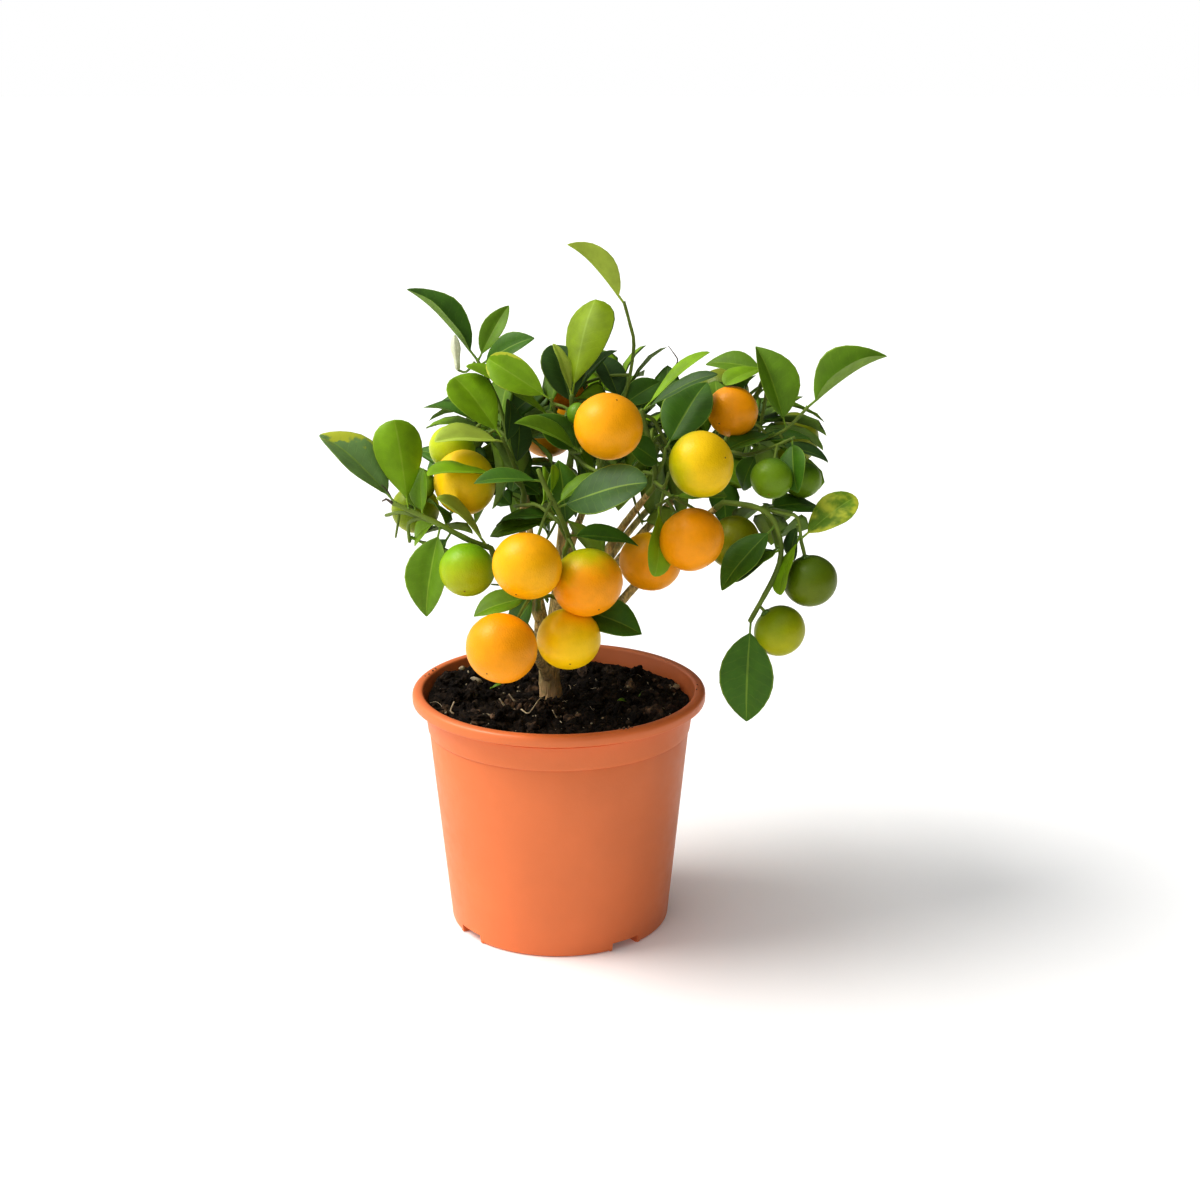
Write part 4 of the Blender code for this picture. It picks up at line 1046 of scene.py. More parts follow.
def grow_heart(crown, mass):
    """The seeded rule: shoots that reach for drawn points, with leaves set round them by a fixed turn."""
    draw = random.Random(mass.seed)
    looks = spray_looks(mass.seed + 1)
    stem = stem_way(mass)
    grown = []
    for _ in range(mass.fill_shoots):
        target = point_in_heart(mass.heart, draw, *FILL_SHELL)
        start, on = along_way(stem, draw.uniform(*FILL_SHOOT_STARTS))
        bend = start + on * FILL_SHOOT_BEND * (target - start).length
        way = smooth_way([start, bend.lerp(target, FILL_SHOOT_MIDDLE), target])
        turn = draw.uniform(0, 360)
        if crown.add_twig(mass, way, taper(way, SHOOT_FOOT_RADIUS, SHOOT_TIP_RADIUS)):
            grown.append((way, turn))
    for look in BACK_FRUIT_LOOKS.get(mass.name, ())[:mass.fill_fruits]:
        diameter = draw.uniform(*FILL_FRUIT_DIAMETER)
        places = [point_in_heart(mass.heart, draw, *FILL_FRUIT_SHELL) for _ in range(FILL_FRUIT_TRIES)]
        any(crown.add_fruit(mass, Fruit(look, tuple(place), diameter)) for place in places)
    for way, turn in grown:
        for k in range(FILL_LEAVES):
            length = draw.uniform(*FILL_LENGTH)
            for attempt in range(FILL_TRIES):
                turn += FILL_TURN
                foot, tangent = along_way(way, 1.0 - FILL_LEAFY * k / FILL_LEAVES)
                spread = FILL_FIRST_SPREAD if k + attempt == 0 else 1.0
                tilt = math.radians(draw.uniform(*FILL_SPREAD) * spread)
                blade = Blade(
                    next(looks), foot, leaf_heading(tangent, turn, tilt), length,
                    length * draw.uniform(*FILL_SLENDERNESS), draw.uniform(*FILL_ROLL),
                    draw.uniform(*FILL_FOLD), draw.uniform(*FILL_ARCH), HEART_STATIONS
                )
                if inside_heart(mass.heart, blade.midrib(1)) and crown.add_leaf(mass, blade):
                    break


def fine_room(mass, point):
    """Whether finer growth may reach a point. In front it keeps behind what is set out one by one."""
    front = bool(mass.shoots or mass.leaves)
    behind = not front or point.y > mass.heart.centre[1] - FINE_FRONT * mass.heart.reach[1]
    middle = Vector(mass.heart.centre)
    return behind and inside_heart(mass.heart, middle + (point - middle) / FINE_REACH[front])


def grow_fine(crown, mass, shoots):
    """Finer growth within the same reach: twiglets, then small leaves on every shoot and twiglet."""
    draw = random.Random(FINE_SEED + mass.seed)
    looks = spray_looks(FINE_SEED + mass.seed)
    shoots = list(shoots)
    front = bool(mass.shoots or mass.leaves)
    for _ in range(FINE_TWIGLETS[front]):
        for _ in range(FINE_TWIGLET_TRIES):
            way, _ = draw.choice(shoots)
            start, tangent = along_way(way, draw.uniform(*FINE_TWIGLET_STARTS))
            turn, tilt = draw.uniform(0, 360), math.radians(draw.uniform(*FINE_TWIGLET_SPREAD))
            aim = leaf_heading(tangent, turn, tilt).normalized()
            length = draw.uniform(*FINE_TWIGLET_LENGTH)
            tip = start + aim * length
            sag = Vector((0, 0, -FINE_TWIGLET_SAG * length))
            twiglet = [start, start + aim * length * 0.5 + sag, tip]
            radii = taper(twiglet, FINE_FOOT_RADIUS, FINE_TIP_RADIUS)
            if fine_room(mass, tip) and crown.add_twig(mass, twiglet, radii):
                shoots.append((twiglet, radii))
                break
    for way, _ in shoots:
        turn = draw.uniform(0, 360)
        long = sum((b - a).length for a, b in zip(way, way[1:]))
        count = max(2, round(long / FINE_LEAF_STEP[front]))
        for k in range(count):
            length = draw.uniform(*FINE_LEAF_LENGTH)
            for _ in range(FINE_LEAF_TRIES):
                turn += FILL_TURN
                foot, tangent = along_way(way, 1.0 - FINE_LEAFY * k / count)
                tilt = math.radians(draw.uniform(*FILL_SPREAD))
                roll = draw.choice((-1, 1)) * draw.uniform(*FINE_ROLL)
                blade = Blade(
                    next(looks), foot, leaf_heading(tangent, turn, tilt), length,
                    length * draw.uniform(*FINE_SLENDERNESS), roll,
                    draw.uniform(*FILL_FOLD), draw.uniform(*FILL_ARCH), HEART_STATIONS
                )
                if fine_room(mass, blade.midrib(1)) and crown.add_leaf(mass, blade):
                    break


@functools.cache
def grown_crown():
    """The whole crown, grown once."""
    crown = Crown(limb_meshes())
    grow_shown(crown)
    for mass in MASSES:
        grow_heart(crown, mass)
    for mass in MASSES:
        stalks = [way for _, way in crown.fruits[mass.name]]
        shoots = [row for row in crown.ways[mass.name] if not any(row[0] is way for way in stalks)]
        grow_fine(crown, mass, shoots)
    return crown


def feed(tree, node, inputs):
    """Links or sets a node's inputs."""
    for key, value in inputs.items():
        if isinstance(value, bpy.types.NodeSocket):
            tree.links.new(value, node.inputs[key])
        else:
            node.inputs[key].default_value = value


def add_node(tree, kind, inputs=None, **settings):
    """A shader node with its settings, and its inputs linked or set."""
    made = tree.nodes.new(kind)
    for key, value in settings.items():
        setattr(made, key, value)
    feed(tree, made, inputs or {})
    return made


def maths(tree, operation, first, second=0.0, clamp=False):
    """The result of one sum on two values or sockets."""
    inputs = {0: first, 1: second}
    return add_node(tree, "ShaderNodeMath", inputs, operation=operation, use_clamp=clamp).outputs[0]


def ranged(tree, value, low=0.0, high=1.0, to_low=0.0, to_high=1.0, curve="LINEAR"):
    """A value carried over from one range to another."""
    inputs = {"Value": value, "From Min": low, "From Max": high, "To Min": to_low, "To Max": to_high}
    return add_node(tree, "ShaderNodeMapRange", inputs, interpolation_type=curve).outputs["Result"]


def split(tree, vector, axis):
    """One of a vector's three numbers."""
    return add_node(tree, "ShaderNodeSeparateXYZ", {0: vector}).outputs[axis]


def mixed(tree, factor, first, second):
    """The colour between two colours."""
    inputs = {0: factor, 6: rgba(first), 7: rgba(second)}
    return add_node(tree, "ShaderNodeMix", inputs, data_type="RGBA").outputs[2]


def rgba(colour):
    """A colour with its alpha, or the socket that gives it."""
    return colour if isinstance(colour, bpy.types.NodeSocket) else (*colour[:3], 1.0)


def shaded(colour, share):
    """A colour made darker, or lighter with a share over 1."""
    return tuple(min(1.0, c * share) for c in colour)


def between(first, second, share):
    """The colour a share of the way from one to another."""
    return tuple(a + (b - a) * share for a, b in zip(first, second))


def start_group(name, values, results):
    """A new shader node group that reads a place: the tree, its inputs and its output node."""
    group = bpy.data.node_groups.new(name, "ShaderNodeTree")
    group.interface.new_socket(name="Vector", in_out="INPUT", socket_type="NodeSocketVector")
    for label, value in values.items():
        socket = group.interface.new_socket(name=label, in_out="INPUT", socket_type="NodeSocketFloat")
        socket.default_value = value
    for label in results:
        group.interface.new_socket(name=label, in_out="OUTPUT", socket_type="NodeSocketFloat")
    given = group.nodes.new("NodeGroupInput").outputs
    return group, given, group.nodes.new("NodeGroupOutput")


@functools.cache
def blotch_group():
    """Soft blotches: a factor that wanders between 0 and 1 over the surface."""
    values = {"Scale": 100.0, "Detail": 3.0, "Low": 0.35, "High": 0.65}
    group, given, out = start_group("orange_tree_blotches", values, ["Factor"])
    inputs = {key: given[key] for key in ("Vector", "Scale", "Detail")}
    wander = add_node(group, "ShaderNodeTexNoise", inputs).outputs[0]
    feed(group, out, {"Factor": ranged(group, wander, given["Low"], given["High"])})
    return group


@functools.cache
def vein_group():
    """A leaf's side veins, on its own map: along the leaf in X, across it in Y with the rib at a half."""
    values = {"Count": 11.0, "Slant": 2.6}
    group, given, out = start_group("orange_tree_veins", values, ["Vein", "Height"])
    place = given["Vector"]
    bent = add_node(group, "ShaderNodeTexNoise", {"Vector": place, "Scale": 7.0, "Detail": 2.0}).outputs[0]
    off = maths(group, "ABSOLUTE", maths(group, "SUBTRACT", split(group, place, 1), 0.5))
    along = maths(group, "MULTIPLY", split(group, place, 0), given["Count"])
    slanted = maths(group, "SUBTRACT", along, maths(group, "MULTIPLY", off, given["Slant"]))
    wandered = maths(group, "ADD", slanted, maths(group, "MULTIPLY", bent, 0.7))
    vein = ranged(group, maths(group, "PINGPONG", wandered, 0.5), 0.09, 0.0, curve="SMOOTHSTEP")
    inputs = {"Vector": place, "Scale": 46.0}
    net = add_node(group, "ShaderNodeTexVoronoi", inputs, feature="DISTANCE_TO_EDGE").outputs["Distance"]
    net_low = maths(group, "MINIMUM", maths(group, "MULTIPLY", net, 4.0), 1.0)
    height = maths(group, "SUBTRACT", maths(group, "MULTIPLY", net_low, 0.35), vein)
    feed(group, out, {"Vein": vein, "Height": height})
    return group


@functools.cache
def pore_group():
    """The fine pits of a citrus rind."""
    group, given, out = start_group("orange_tree_pores", {"Scale": 900.0}, ["Height"])
    inputs = {key: given[key] for key in ("Vector", "Scale")}
    cells = add_node(group, "ShaderNodeTexVoronoi", inputs).outputs["Distance"]
    feed(group, out, {"Height": maths(group, "MINIMUM", maths(group, "MULTIPLY", cells, 1.8), 1.0)})
    return group


@functools.cache
def pattern_group():
    """Where a two-coloured leaf takes its second colour, on its own map and by chance."""
    values = {
        "Chance": 0.5, "Along": 0.0, "Across": 0.0, "Side": 0.0, "Weight": 0.5, "Limit": 1.0, "Soft": 0.1,
    }
    group, given, out = start_group("orange_tree_pattern", values, ["Factor"])
    place = given["Vector"]
    side = maths(group, "MULTIPLY", maths(group, "SUBTRACT", split(group, place, 1), 0.5), 2.0)
    total = maths(group, "MULTIPLY", split(group, place, 0), given["Along"])
    terms = ((maths(group, "ABSOLUTE", side), "Across"), (side, "Side"), (given["Chance"], "Weight"))
    for value, share in terms:
        total = maths(group, "ADD", total, maths(group, "MULTIPLY", value, given[share]))
    over = maths(group, "SUBTRACT", total, given["Limit"])
    low = maths(group, "MULTIPLY", given["Soft"], -1.0)
    feed(group, out, {"Factor": ranged(group, over, low, given["Soft"], curve="SMOOTHSTEP")})
    return group


class Finish:
    """A material in the making: its shader and its coordinates."""

    def __init__(self, name, roughness, specular=0.5):
        self.material = bpy.data.materials.new(name)
        self.material.use_nodes = True
        self.tree = self.material.node_tree
        self.shader = self.tree.nodes["Principled BSDF"]
        feed(self.tree, self.shader, {"Roughness": roughness, "Specular IOR Level": specular})
        coordinates = self.tree.nodes.new("ShaderNodeTexCoord").outputs
        self.place, self.map = coordinates["Object"], coordinates["UV"]

    def group(self, group, **inputs):
        """One of the shared groups with this material's values, reading its coordinates."""
        inputs = {"Vector": self.place, **inputs}
        return add_node(self.tree, "ShaderNodeGroup", inputs, node_tree=group).outputs

    def blotches(self, scale, low=0.35, high=0.65, detail=3.0, **inputs):
        return self.group(blotch_group(), Scale=scale, Low=low, High=high, Detail=detail, **inputs)["Factor"]

    def mottled(self, factor, base, first, second):
        """A colour that goes from one shade of a base to another with a factor."""
        return mixed(self.tree, factor, shaded(base, first), shaded(base, second))

    def colour(self, colour):
        feed(self.tree, self.shader, {"Base Color": rgba(colour)})

    def roughness(self, factor, low, high):
        feed(self.tree, self.shader, {"Roughness": ranged(self.tree, factor, to_low=low, to_high=high)})

    def bump(self, height, distance, strength):
        inputs = {"Height": height, "Distance": distance, "Strength": strength}
        bumped = add_node(self.tree, "ShaderNodeBump", inputs).outputs["Normal"]
        feed(self.tree, self.shader, {"Normal": bumped})


def sizes():
    return bpy.context.scene.orange_tree_sizes


def colours():
    return bpy.context.scene.orange_tree_colours


@functools.cache
def pot_finish():
    """Satin plastic: a faint mottle in its colour, and the small waves of a moulding."""
    made = Finish("pot_plastic", 0.42, 0.6)
    made.colour(made.mottled(made.blotches(24.0, 0.3, 0.7), colours().pot, 0.94, 1.03))
    made.roughness(made.blotches(160.0), 0.38, 0.46)
    made.bump(made.blotches(420.0, 0.2, 0.8), 0.00012, 0.35)
    return made.material


@functools.cache
def soil_finish(name):
    """Damp peat, browner where it has dried."""
    made = Finish(name, 0.95, 0.15)
    wet, dry = (shaded(colour, SOIL_SHADES[name]) for colour in (colours().soil, colours().soil_dry))
    made.colour(mixed(made.tree, made.blotches(260.0, 0.46, 0.78), wet, dry))
    made.roughness(made.blotches(900.0), 0.7, 1.0)
    made.bump(made.blotches(1500.0, 0.2, 0.8, 5.0), 0.0004, 0.8)
    return made.material


@functools.cache
def bark_finish():
    """Bark: grey-green and brown streaks along the limb, tan near the soil."""
    made = Finish("bark", 0.85, 0.25)
    inputs = {"Vector": made.place, "Scale": (1.0, 1.0, BARK_STRETCH)}
    stretch = add_node(made.tree, "ShaderNodeMapping", inputs).outputs[0]
    streaks = made.blotches(620.0, 0.36, 0.66, 5.0, Vector=stretch)
    streaked = made.mottled(streaks, colours().bark, 0.55, 1.6)
    mossy = mixed(made.tree, made.blotches(90.0, 0.5, 0.75), streaked, BARK_MOSS)
    speckled = mixed(made.tree, made.blotches(640.0, 0.60, 0.72), mossy, BARK_SPECKS)
    near_foot = ranged(made.tree, split(made.tree, made.place, 2), *BARK_FOOT_HEIGHTS)
    patchy = maths(made.tree, "MULTIPLY", near_foot, made.blotches(300.0, 0.12, 0.5), clamp=True)
    made.colour(mixed(made.tree, patchy, speckled, tuple(colours().bark_foot)))
    made.bump(streaks, 0.0006, 0.9)
    return made.material


@functools.cache
def twig_finish():
    """Young bark: green, with darker stretches and a fine relief."""
    made = Finish("twig_bark", 0.6, 0.35)
    made.colour(made.mottled(made.blotches(70.0, 0.35, 0.7), colours().twig, 1.0, 0.55))
    made.bump(made.blotches(1400.0, 0.3, 0.7, 4.0), 0.00015, 0.6)
    return made.material


def leaf_colour(look, part):
    """The plain colour of one part of a leaf."""
    upper = LEAF_LOOKS[look]
    return {
        "upper": upper,
        "under": between(UNDER_COLOUR, upper, 1.0 if look == "young" else 1 - UNDER_SHARE),
        "rib": between(upper, RIB_TINT, RIB_SHARE),
        # the rim's lighter tint is a painted edge highlight
        "rim": between(upper, RIB_TINT, RIM_HIGHLIGHT_SHARE),
    }[part]


@functools.cache
def leaf_finish(look, part):
    """One part of a leaf: its upper face, its under face, its rib, or its thin rim, whose lighter colour is a
    painted highlight along the margin.
    """
    pattern, under = PATTERNS.get(look), part == "under"
    plain = pattern.base if pattern else look
    base = leaf_colour(plain, part)
    rough = UNDER_ROUGHNESS if under else LEAF_ROUGHNESS.get(plain, PLAIN_LEAF_ROUGHNESS)
    made = Finish(f"leaf_{look}_{part}", rough, 0.2 if under else 0.3)
    patchy = made.mottled(made.blotches(110.0, 0.3, 0.7), base, 0.84, 1.14)
    if pattern:
        where = made.group(
            pattern_group(), Vector=made.map, Chance=made.blotches(150.0, 0.25, 0.75), Along=pattern.along,
            Across=pattern.across, Side=pattern.side, Weight=pattern.chance, Limit=pattern.limit,
            Soft=pattern.soft,
        )["Factor"]
        patchy = mixed(made.tree, where, patchy, leaf_colour("yellow", part))
    if part in ("rib", "rim"):
        made.colour(patchy)
        return made.material
    veins = made.group(vein_group(), Vector=made.map)
    faint = maths(made.tree, "MULTIPLY", veins["Vein"], 0.16 if under else 0.10)
    made.colour(mixed(made.tree, faint, patchy, between(base, RIB_TINT, 0.6)))
    made.bump(veins["Height"], 0.00010, 0.35)
    return made.material


@functools.cache
def fruit_finish(look):
    """A rind: two colours that meet part way down from the stalk, blotched, with fine pores."""
    rind = FRUIT_LOOKS[look]
    made = Finish(f"rind_{look}", 0.36, 0.34)
    wander = maths(made.tree, "MULTIPLY", made.blotches(70.0, 0.2, 0.8), 0.22)
    down = maths(made.tree, "ADD", split(made.tree, made.map, 1), wander)
    reach = ranged(made.tree, down, rind.reach - 0.12, rind.reach + 0.32, curve="SMOOTHSTEP")
    two = mixed(made.tree, reach, rind.stalk, rind.free)
    darker = mixed(made.tree, 0.1, two, (0.0, 0.0, 0.0))
    made.colour(mixed(made.tree, made.blotches(190.0, 0.3, 0.75), two, darker))
    made.bump(made.group(pore_group(), Scale=1050.0)["Height"], 0.00016, 0.5)
    return made.material


@functools.cache
def plain_finish(name):
    """A small part's finish: one colour with fine blotches and a little relief."""
    look = PLAIN_LOOKS[name]
    made = Finish(name, look.roughness)
    blotches = made.blotches(look.scale)
    made.colour(made.mottled(blotches, look.colour, 1 - look.contrast, 1 + look.contrast))
    made.bump(blotches, 0.0002, 0.5)
    return made.material


class Sheaf:
    """Many small shapes gathered into one piece, each face with its finish and its map."""

    def __init__(self, name):
        self.name = name
        self.points, self.faces, self.finishes, self.kinds = [], [], [], []

    def add(self, points, faces, kinds, places=None):
        """Adds a shape in millimetres. Kinds is a finish for each face, or one for all."""
        start = len(self.points)
        self.points += [tuple(c * MM for c in p) for p in points]
        kinds = kinds if isinstance(kinds, list) else [kinds] * len(faces)
        for face, kind in zip(faces, kinds):
            if kind.name not in self.kinds:
                self.kinds.append(kind.name)
                self.finishes.append(kind)
            mapped = [places[i] for i in face] if places else None
            self.faces.append(([start + i for i in face], self.kinds.index(kind.name), mapped))

    def build(self, slot, replaces=(), smooth=True):
        """The gathered shapes as one mesh object that rides on the part."""
        mesh = bpy.data.meshes.new(self.name)
        mesh.from_pydata(self.points, [], [face for face, _, _ in self.faces])
        for finish in self.finishes:
            mesh.materials.append(finish)
        mesh.polygons.foreach_set("material_index", [kind for _, kind, _ in self.faces])
        if self.faces[0][2]:
            layer = mesh.uv_layers.new(name="UVMap")
            flat = [c for _, _, places in self.faces for place in places for c in place]
            layer.data.foreach_set("uv", flat)
        if smooth:
            mesh.shade_smooth()
        mesh.validate()
        obj = bpy.data.objects.new(self.name, mesh)
        bpy.context.scene.collection.objects.link(obj)
        return mounted(obj, replaces)


def mounted(obj, replaces=()):
    """A finished piece on the part's body, with the parts it stands for hidden."""
    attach(obj, BODY)
    if replaces:
        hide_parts(*replaces)
    return obj


def axes_round(axis):
    """Two headings square to an axis and to each other."""
    across = axis.orthogonal().normalized()
    return across, axis.cross(across)


def turned_round(axes, turn):
    """The heading at a turn round an axis."""
    return axes[0] * math.cos(turn) + axes[1] * math.sin(turn)


def band_faces(rings, sides):
    """The faces between each ring of points and the next."""
    faces = []
    for j in range(rings - 1):
        for k in range(sides):
            a, b = j * sides + k, j * sides + (k + 1) % sides
            faces.append([a, b, b + sides, a + sides])
    return faces


def tube_faces(rings, sides):
    """The faces of a closed tube whose foot and tip points come after its rings."""
    faces = band_faces(rings, sides)
    foot, last = rings * sides, (rings - 1) * sides
    for k in range(sides):
        b = (k + 1) % sides
        faces += [[b, k, foot], [last + k, last + b, foot + 1]]
    return faces


def blade_rows(count):
    """Shares of a leaf's length at which its rows lie, closer near the foot and the tip of the blade."""
    blade = [(1 - math.cos(math.pi * k / count)) / 2 for k in range(count)]
    return [0.0, PETIOLE_SHARE * 0.55, *[PETIOLE_SHARE + (1 - PETIOLE_SHARE) * share for share in blade]]


def drawn_half_width(blade, u):
    """Half the width that is drawn: the rule's, with a round shoulder at the petiole and a fine tip."""
    if u <= PETIOLE_SHARE:
        return PETIOLE_HALF_WIDTH * PETIOLE_SLIM
    widest, roundness = OUTLINES.get(blade.look, PLAIN_OUTLINE)
    t = (u - PETIOLE_SHARE) / (1 - PETIOLE_SHARE)
    tail = roundness * (1 - widest) / widest
    shape = (t / widest) ** roundness * ((1 - t) / (1 - widest)) ** tail
    return max(PETIOLE_HALF_WIDTH * PETIOLE_SLIM * (1 - t), blade.half * shape)


def drawn_point(blade, u, v, offset, wave):
    """A point of the drawn leaf: v runs from margin to margin, and offset is off the sheet's middle."""
    half, across = drawn_half_width(blade, u), abs(v)
    reach = across * half
    turn = math.tau * (u * wave.count + wave.phase) + v
    ripple = wave.height * across ** 2 * math.sin(turn) if u > WAVE_START else 0.0
    lift = reach * math.sin(blade.fold) + CAMBER * half * 4 * across * (1 - across) + ripple
    turned = Quaternion(blade.along, wave.twist * u)
    side, up = turned @ blade.side, turned @ blade.up
    lift -= blade.length * TIP_DROOP * max(0.0, u - DROOP_START) ** 2 / (1 - DROOP_START) ** 2
    return blade.midrib(u) + side * math.copysign(reach * math.cos(blade.fold), v) + up * (lift + offset)


def leaf_shape(blade, columns, rows, wave, thickness):
    """The leaf as two sheets that meet at the margin, closed at its foot and its tip."""
    used, count, around = blade_rows(rows), len(columns), 2 * len(columns) - 2
    points, places = [], []
    for u in used:
        for k, v in enumerate((*columns, *columns[-2:0:-1])):
            if u <= PETIOLE_SHARE:
                half_thick = PETIOLE_THICKNESS / 2 * math.sqrt(1 - v * v)
            elif k < count:
                half_thick = thickness / 2 * (1 - abs(v) ** 3)
            else:
                half_thick = thickness / 2 + max(0.0, 1 - abs(v) * 8) * RIB_THICKNESS * (1 - u)
            points.append(drawn_point(blade, u, v, half_thick if k < count else -half_thick, wave))
            places.append((u, v / 2 + 0.5))
    points += [blade.foot - blade.along * LEAF_SOCKET, drawn_point(blade, 1.0, 0.0, 0.0, wave)]
    places += [(0.0, 0.5), (1.0, 0.5)]
    parts = [strip_part(k, count, u) for u in used[:-1] for k in range(around)]
    for k in range(around):
        parts += ["rib", strip_part(k, count, used[-1])]
    return points, tube_faces(len(used), around), parts, places


def strip_part(k, count, u):
    """Which part of the leaf a strip belongs to: rib, rim, upper or under face."""
    if k >= count - 1 and u >= PETIOLE_SHARE:
        return "under"
    if u < PETIOLE_SHARE or 2 * k + 2 == count:
        return "rib"
    return "rim" if count > 6 and k in (0, count - 2) else "upper"


def add_leaf_shape(sheaf, look, shape):
    """Adds a drawn leaf to a sheaf, each part with its finish."""
    points, faces, parts, places = shape
    sheaf.add(points, faces, [leaf_finish(look, part) for part in parts], places)


def draw_leaves(mass):
    """The leaves of a mass as one piece, which stands for the mass's solid."""
    crown = grown_crown()
    sheaf = Sheaf("leaves_" + mass.name.removeprefix("foliage_"))
    draw = random.Random(mass.seed)
    for blade in crown.blades[mass.name]:
        shown = blade.stations is SHOWN_STATIONS
        height = MARGIN_WAVE * LEAF_CURL.get(blade.look, 1.0) * draw.uniform(*WAVE_SHARE)
        count, phase = draw.uniform(*WAVE_COUNT), draw.random()
        twist = math.radians(draw.uniform(*LEAF_TWIST))
        wave = Wave(height * blade.length / WAVE_LENGTH, count, phase, twist)
        columns, rows = (SHOWN_COLUMNS, SHOWN_ROWS) if shown else (FINE_COLUMNS, FINE_ROWS)
        shape = leaf_shape(blade, columns, rows, wave, sizes().leaf_thickness / MM)
        add_leaf_shape(sheaf, blade.look, shape)
    return sheaf.build("leaf", [mass.name])


def sweep(way, radii, sides, relief=None):
    """A closed tube of rings round a way, each ring turned as little as it can be from the last."""
    points = []
    tangent = (way[1] - way[0]).normalized()
    across = tangent.orthogonal().normalized()
    for i, centre in enumerate(way):
        ahead = (way[min(i + 1, len(way) - 1)] - way[max(i - 1, 0)]).normalized()
        across.rotate(tangent.rotation_difference(ahead))
        tangent = ahead
        axes = across, tangent.cross(across)
        for k in range(sides):
            turn = math.tau * k / sides
            share = 1.0 if relief is None else relief(i, turn)
            points.append(centre + turned_round(axes, turn) * radii[i] * share)
    points += [way[0], way[-1] + tangent * radii[-1] * 0.5]
    return points, tube_faces(len(way), sides)


def bark_ridges(way, seed, depth):
    """How far the bark stands out at each ring and turn: long ridges, with a few knots."""
    lengths = [0.0]
    for a, b in zip(way, way[1:]):
        lengths.append(lengths[-1] + (b - a).length)

    def relief(i, turn):
        x, y, along = math.cos(turn) * RIDGE_ROUND, math.sin(turn) * RIDGE_ROUND, lengths[i]
        ridge = 1 - 2 * abs(noise.noise(Vector((x, y, along * RIDGE_ALONG + seed))))
        lump = noise.noise(Vector((x * 0.35, y * 0.35, along * 0.06 + seed)))
        fine = noise.noise(Vector((x * 2.2, y * 2.2, along * 0.6 + seed)))
        return 1 + depth * (ridge - 0.5) + depth * 0.8 * lump + depth * 0.5 * fine

    return relief


def draw_limbs():
    """Trunk and boughs with the relief of their bark, as one piece that stands for their solids."""
    sheaf = Sheaf("limbs")
    depth = sizes().bark_relief
    leader = BOUGHS[0]
    trunk = [Vector(p) for p in TRUNK_WAY]
    trunk[0].z -= 2.5
    rise = bough_way(leader)
    way = [*trunk[:-1], *rise[1:]]
    upper_radii = taper(rise[2:], leader.foot_radius, leader.tip_radius)
    radii = [*TRUNK_RADII[:-1], TRUNK_RADII[-1] * 0.92, *upper_radii]
    fine, fine_radii = resampled(way, radii, LIMB_STEP)
    ridges = bark_ridges(fine, TRUNK_SEED, depth)
    sheaf.add(*sweep(fine, fine_radii, LIMB_SIDES, ridges), bark_finish())
    for number, bough in enumerate(BOUGHS[1:]):
        way = bough_way(bough)
        radii = taper(way, bough.foot_radius, bough.tip_radius)
        fine, fine_radii = resampled(way, radii, LIMB_STEP)
        travelled = 0.0
        for i in range(1, len(fine)):
            travelled += (fine[i] - fine[i - 1]).length
            free = max(0.0, travelled - TRUNK_RADII[3])
            fine_radii[i] *= 1 + COLLAR_SWELL * math.exp(-free / COLLAR_LENGTH)
        ridges = bark_ridges(fine, BOUGH_SEED * number, depth)
        sheaf.add(*sweep(fine, fine_radii, BOUGH_SIDES, ridges), bark_finish())
    return sheaf.build("bark", ["trunk", *[bough.name for bough in BOUGHS]])


def small_ball(centre, radius, stretch):
    """A small closed ball, drawn out along a heading."""
    points = []
    axis, reach = stretch.normalized(), stretch.length
    axes = axes_round(axis)
    for j in range(1, BALL_ROWS):
        lean = math.pi * j / BALL_ROWS
        flat = math.sin(lean) * radius
        for k in range(BALL_SIDES):
            out = turned_round(axes, math.tau * k / BALL_SIDES) * flat
            points.append(centre - axis * math.cos(lean) * reach + out)
    points += [centre - axis * reach, centre + axis * reach]
    return points, tube_faces(BALL_ROWS - 1, BALL_SIDES)


def draw_twigs():
    """Every stem, shoot, stalk and twiglet, with a bud where each leaf stands."""
    crown = grown_crown()
    sheaf = Sheaf("twigs")
    bud = plain_finish("bud")
    for mass in MASSES:
        bough_tip = bough_way(bough_of(mass))[-1]
        for number, (way, radii) in enumerate(crown.ways[mass.name]):
            if number == 0:
                way = [bough_tip - (way[0] - bough_tip).normalized() * 2.0, *way]
                radii = [radii[0], *radii]
            else:
                radii = [r * TWIG_SLIM for r in radii]
            fine, fine_radii = resampled(way, radii, TWIG_DRAWN_STEP)
            swell = random.Random(number)
            fine_radii = [r * (1 + NODE_SWELL * swell.random() ** 3) for r in fine_radii]
            sheaf.add(*sweep(fine, fine_radii, TWIG_SIDES), twig_finish())
        for blade in crown.blades[mass.name]:
            centre = blade.foot + blade.up * BUD_RADIUS * 0.7 + blade.along * BUD_RADIUS * 0.8
            stretch = (blade.up + blade.along * 0.6).normalized() * BUD_RADIUS * 1.5
            sheaf.add(*small_ball(centre, BUD_RADIUS * 0.75, stretch), bud)
    return sheaf.build("bark")


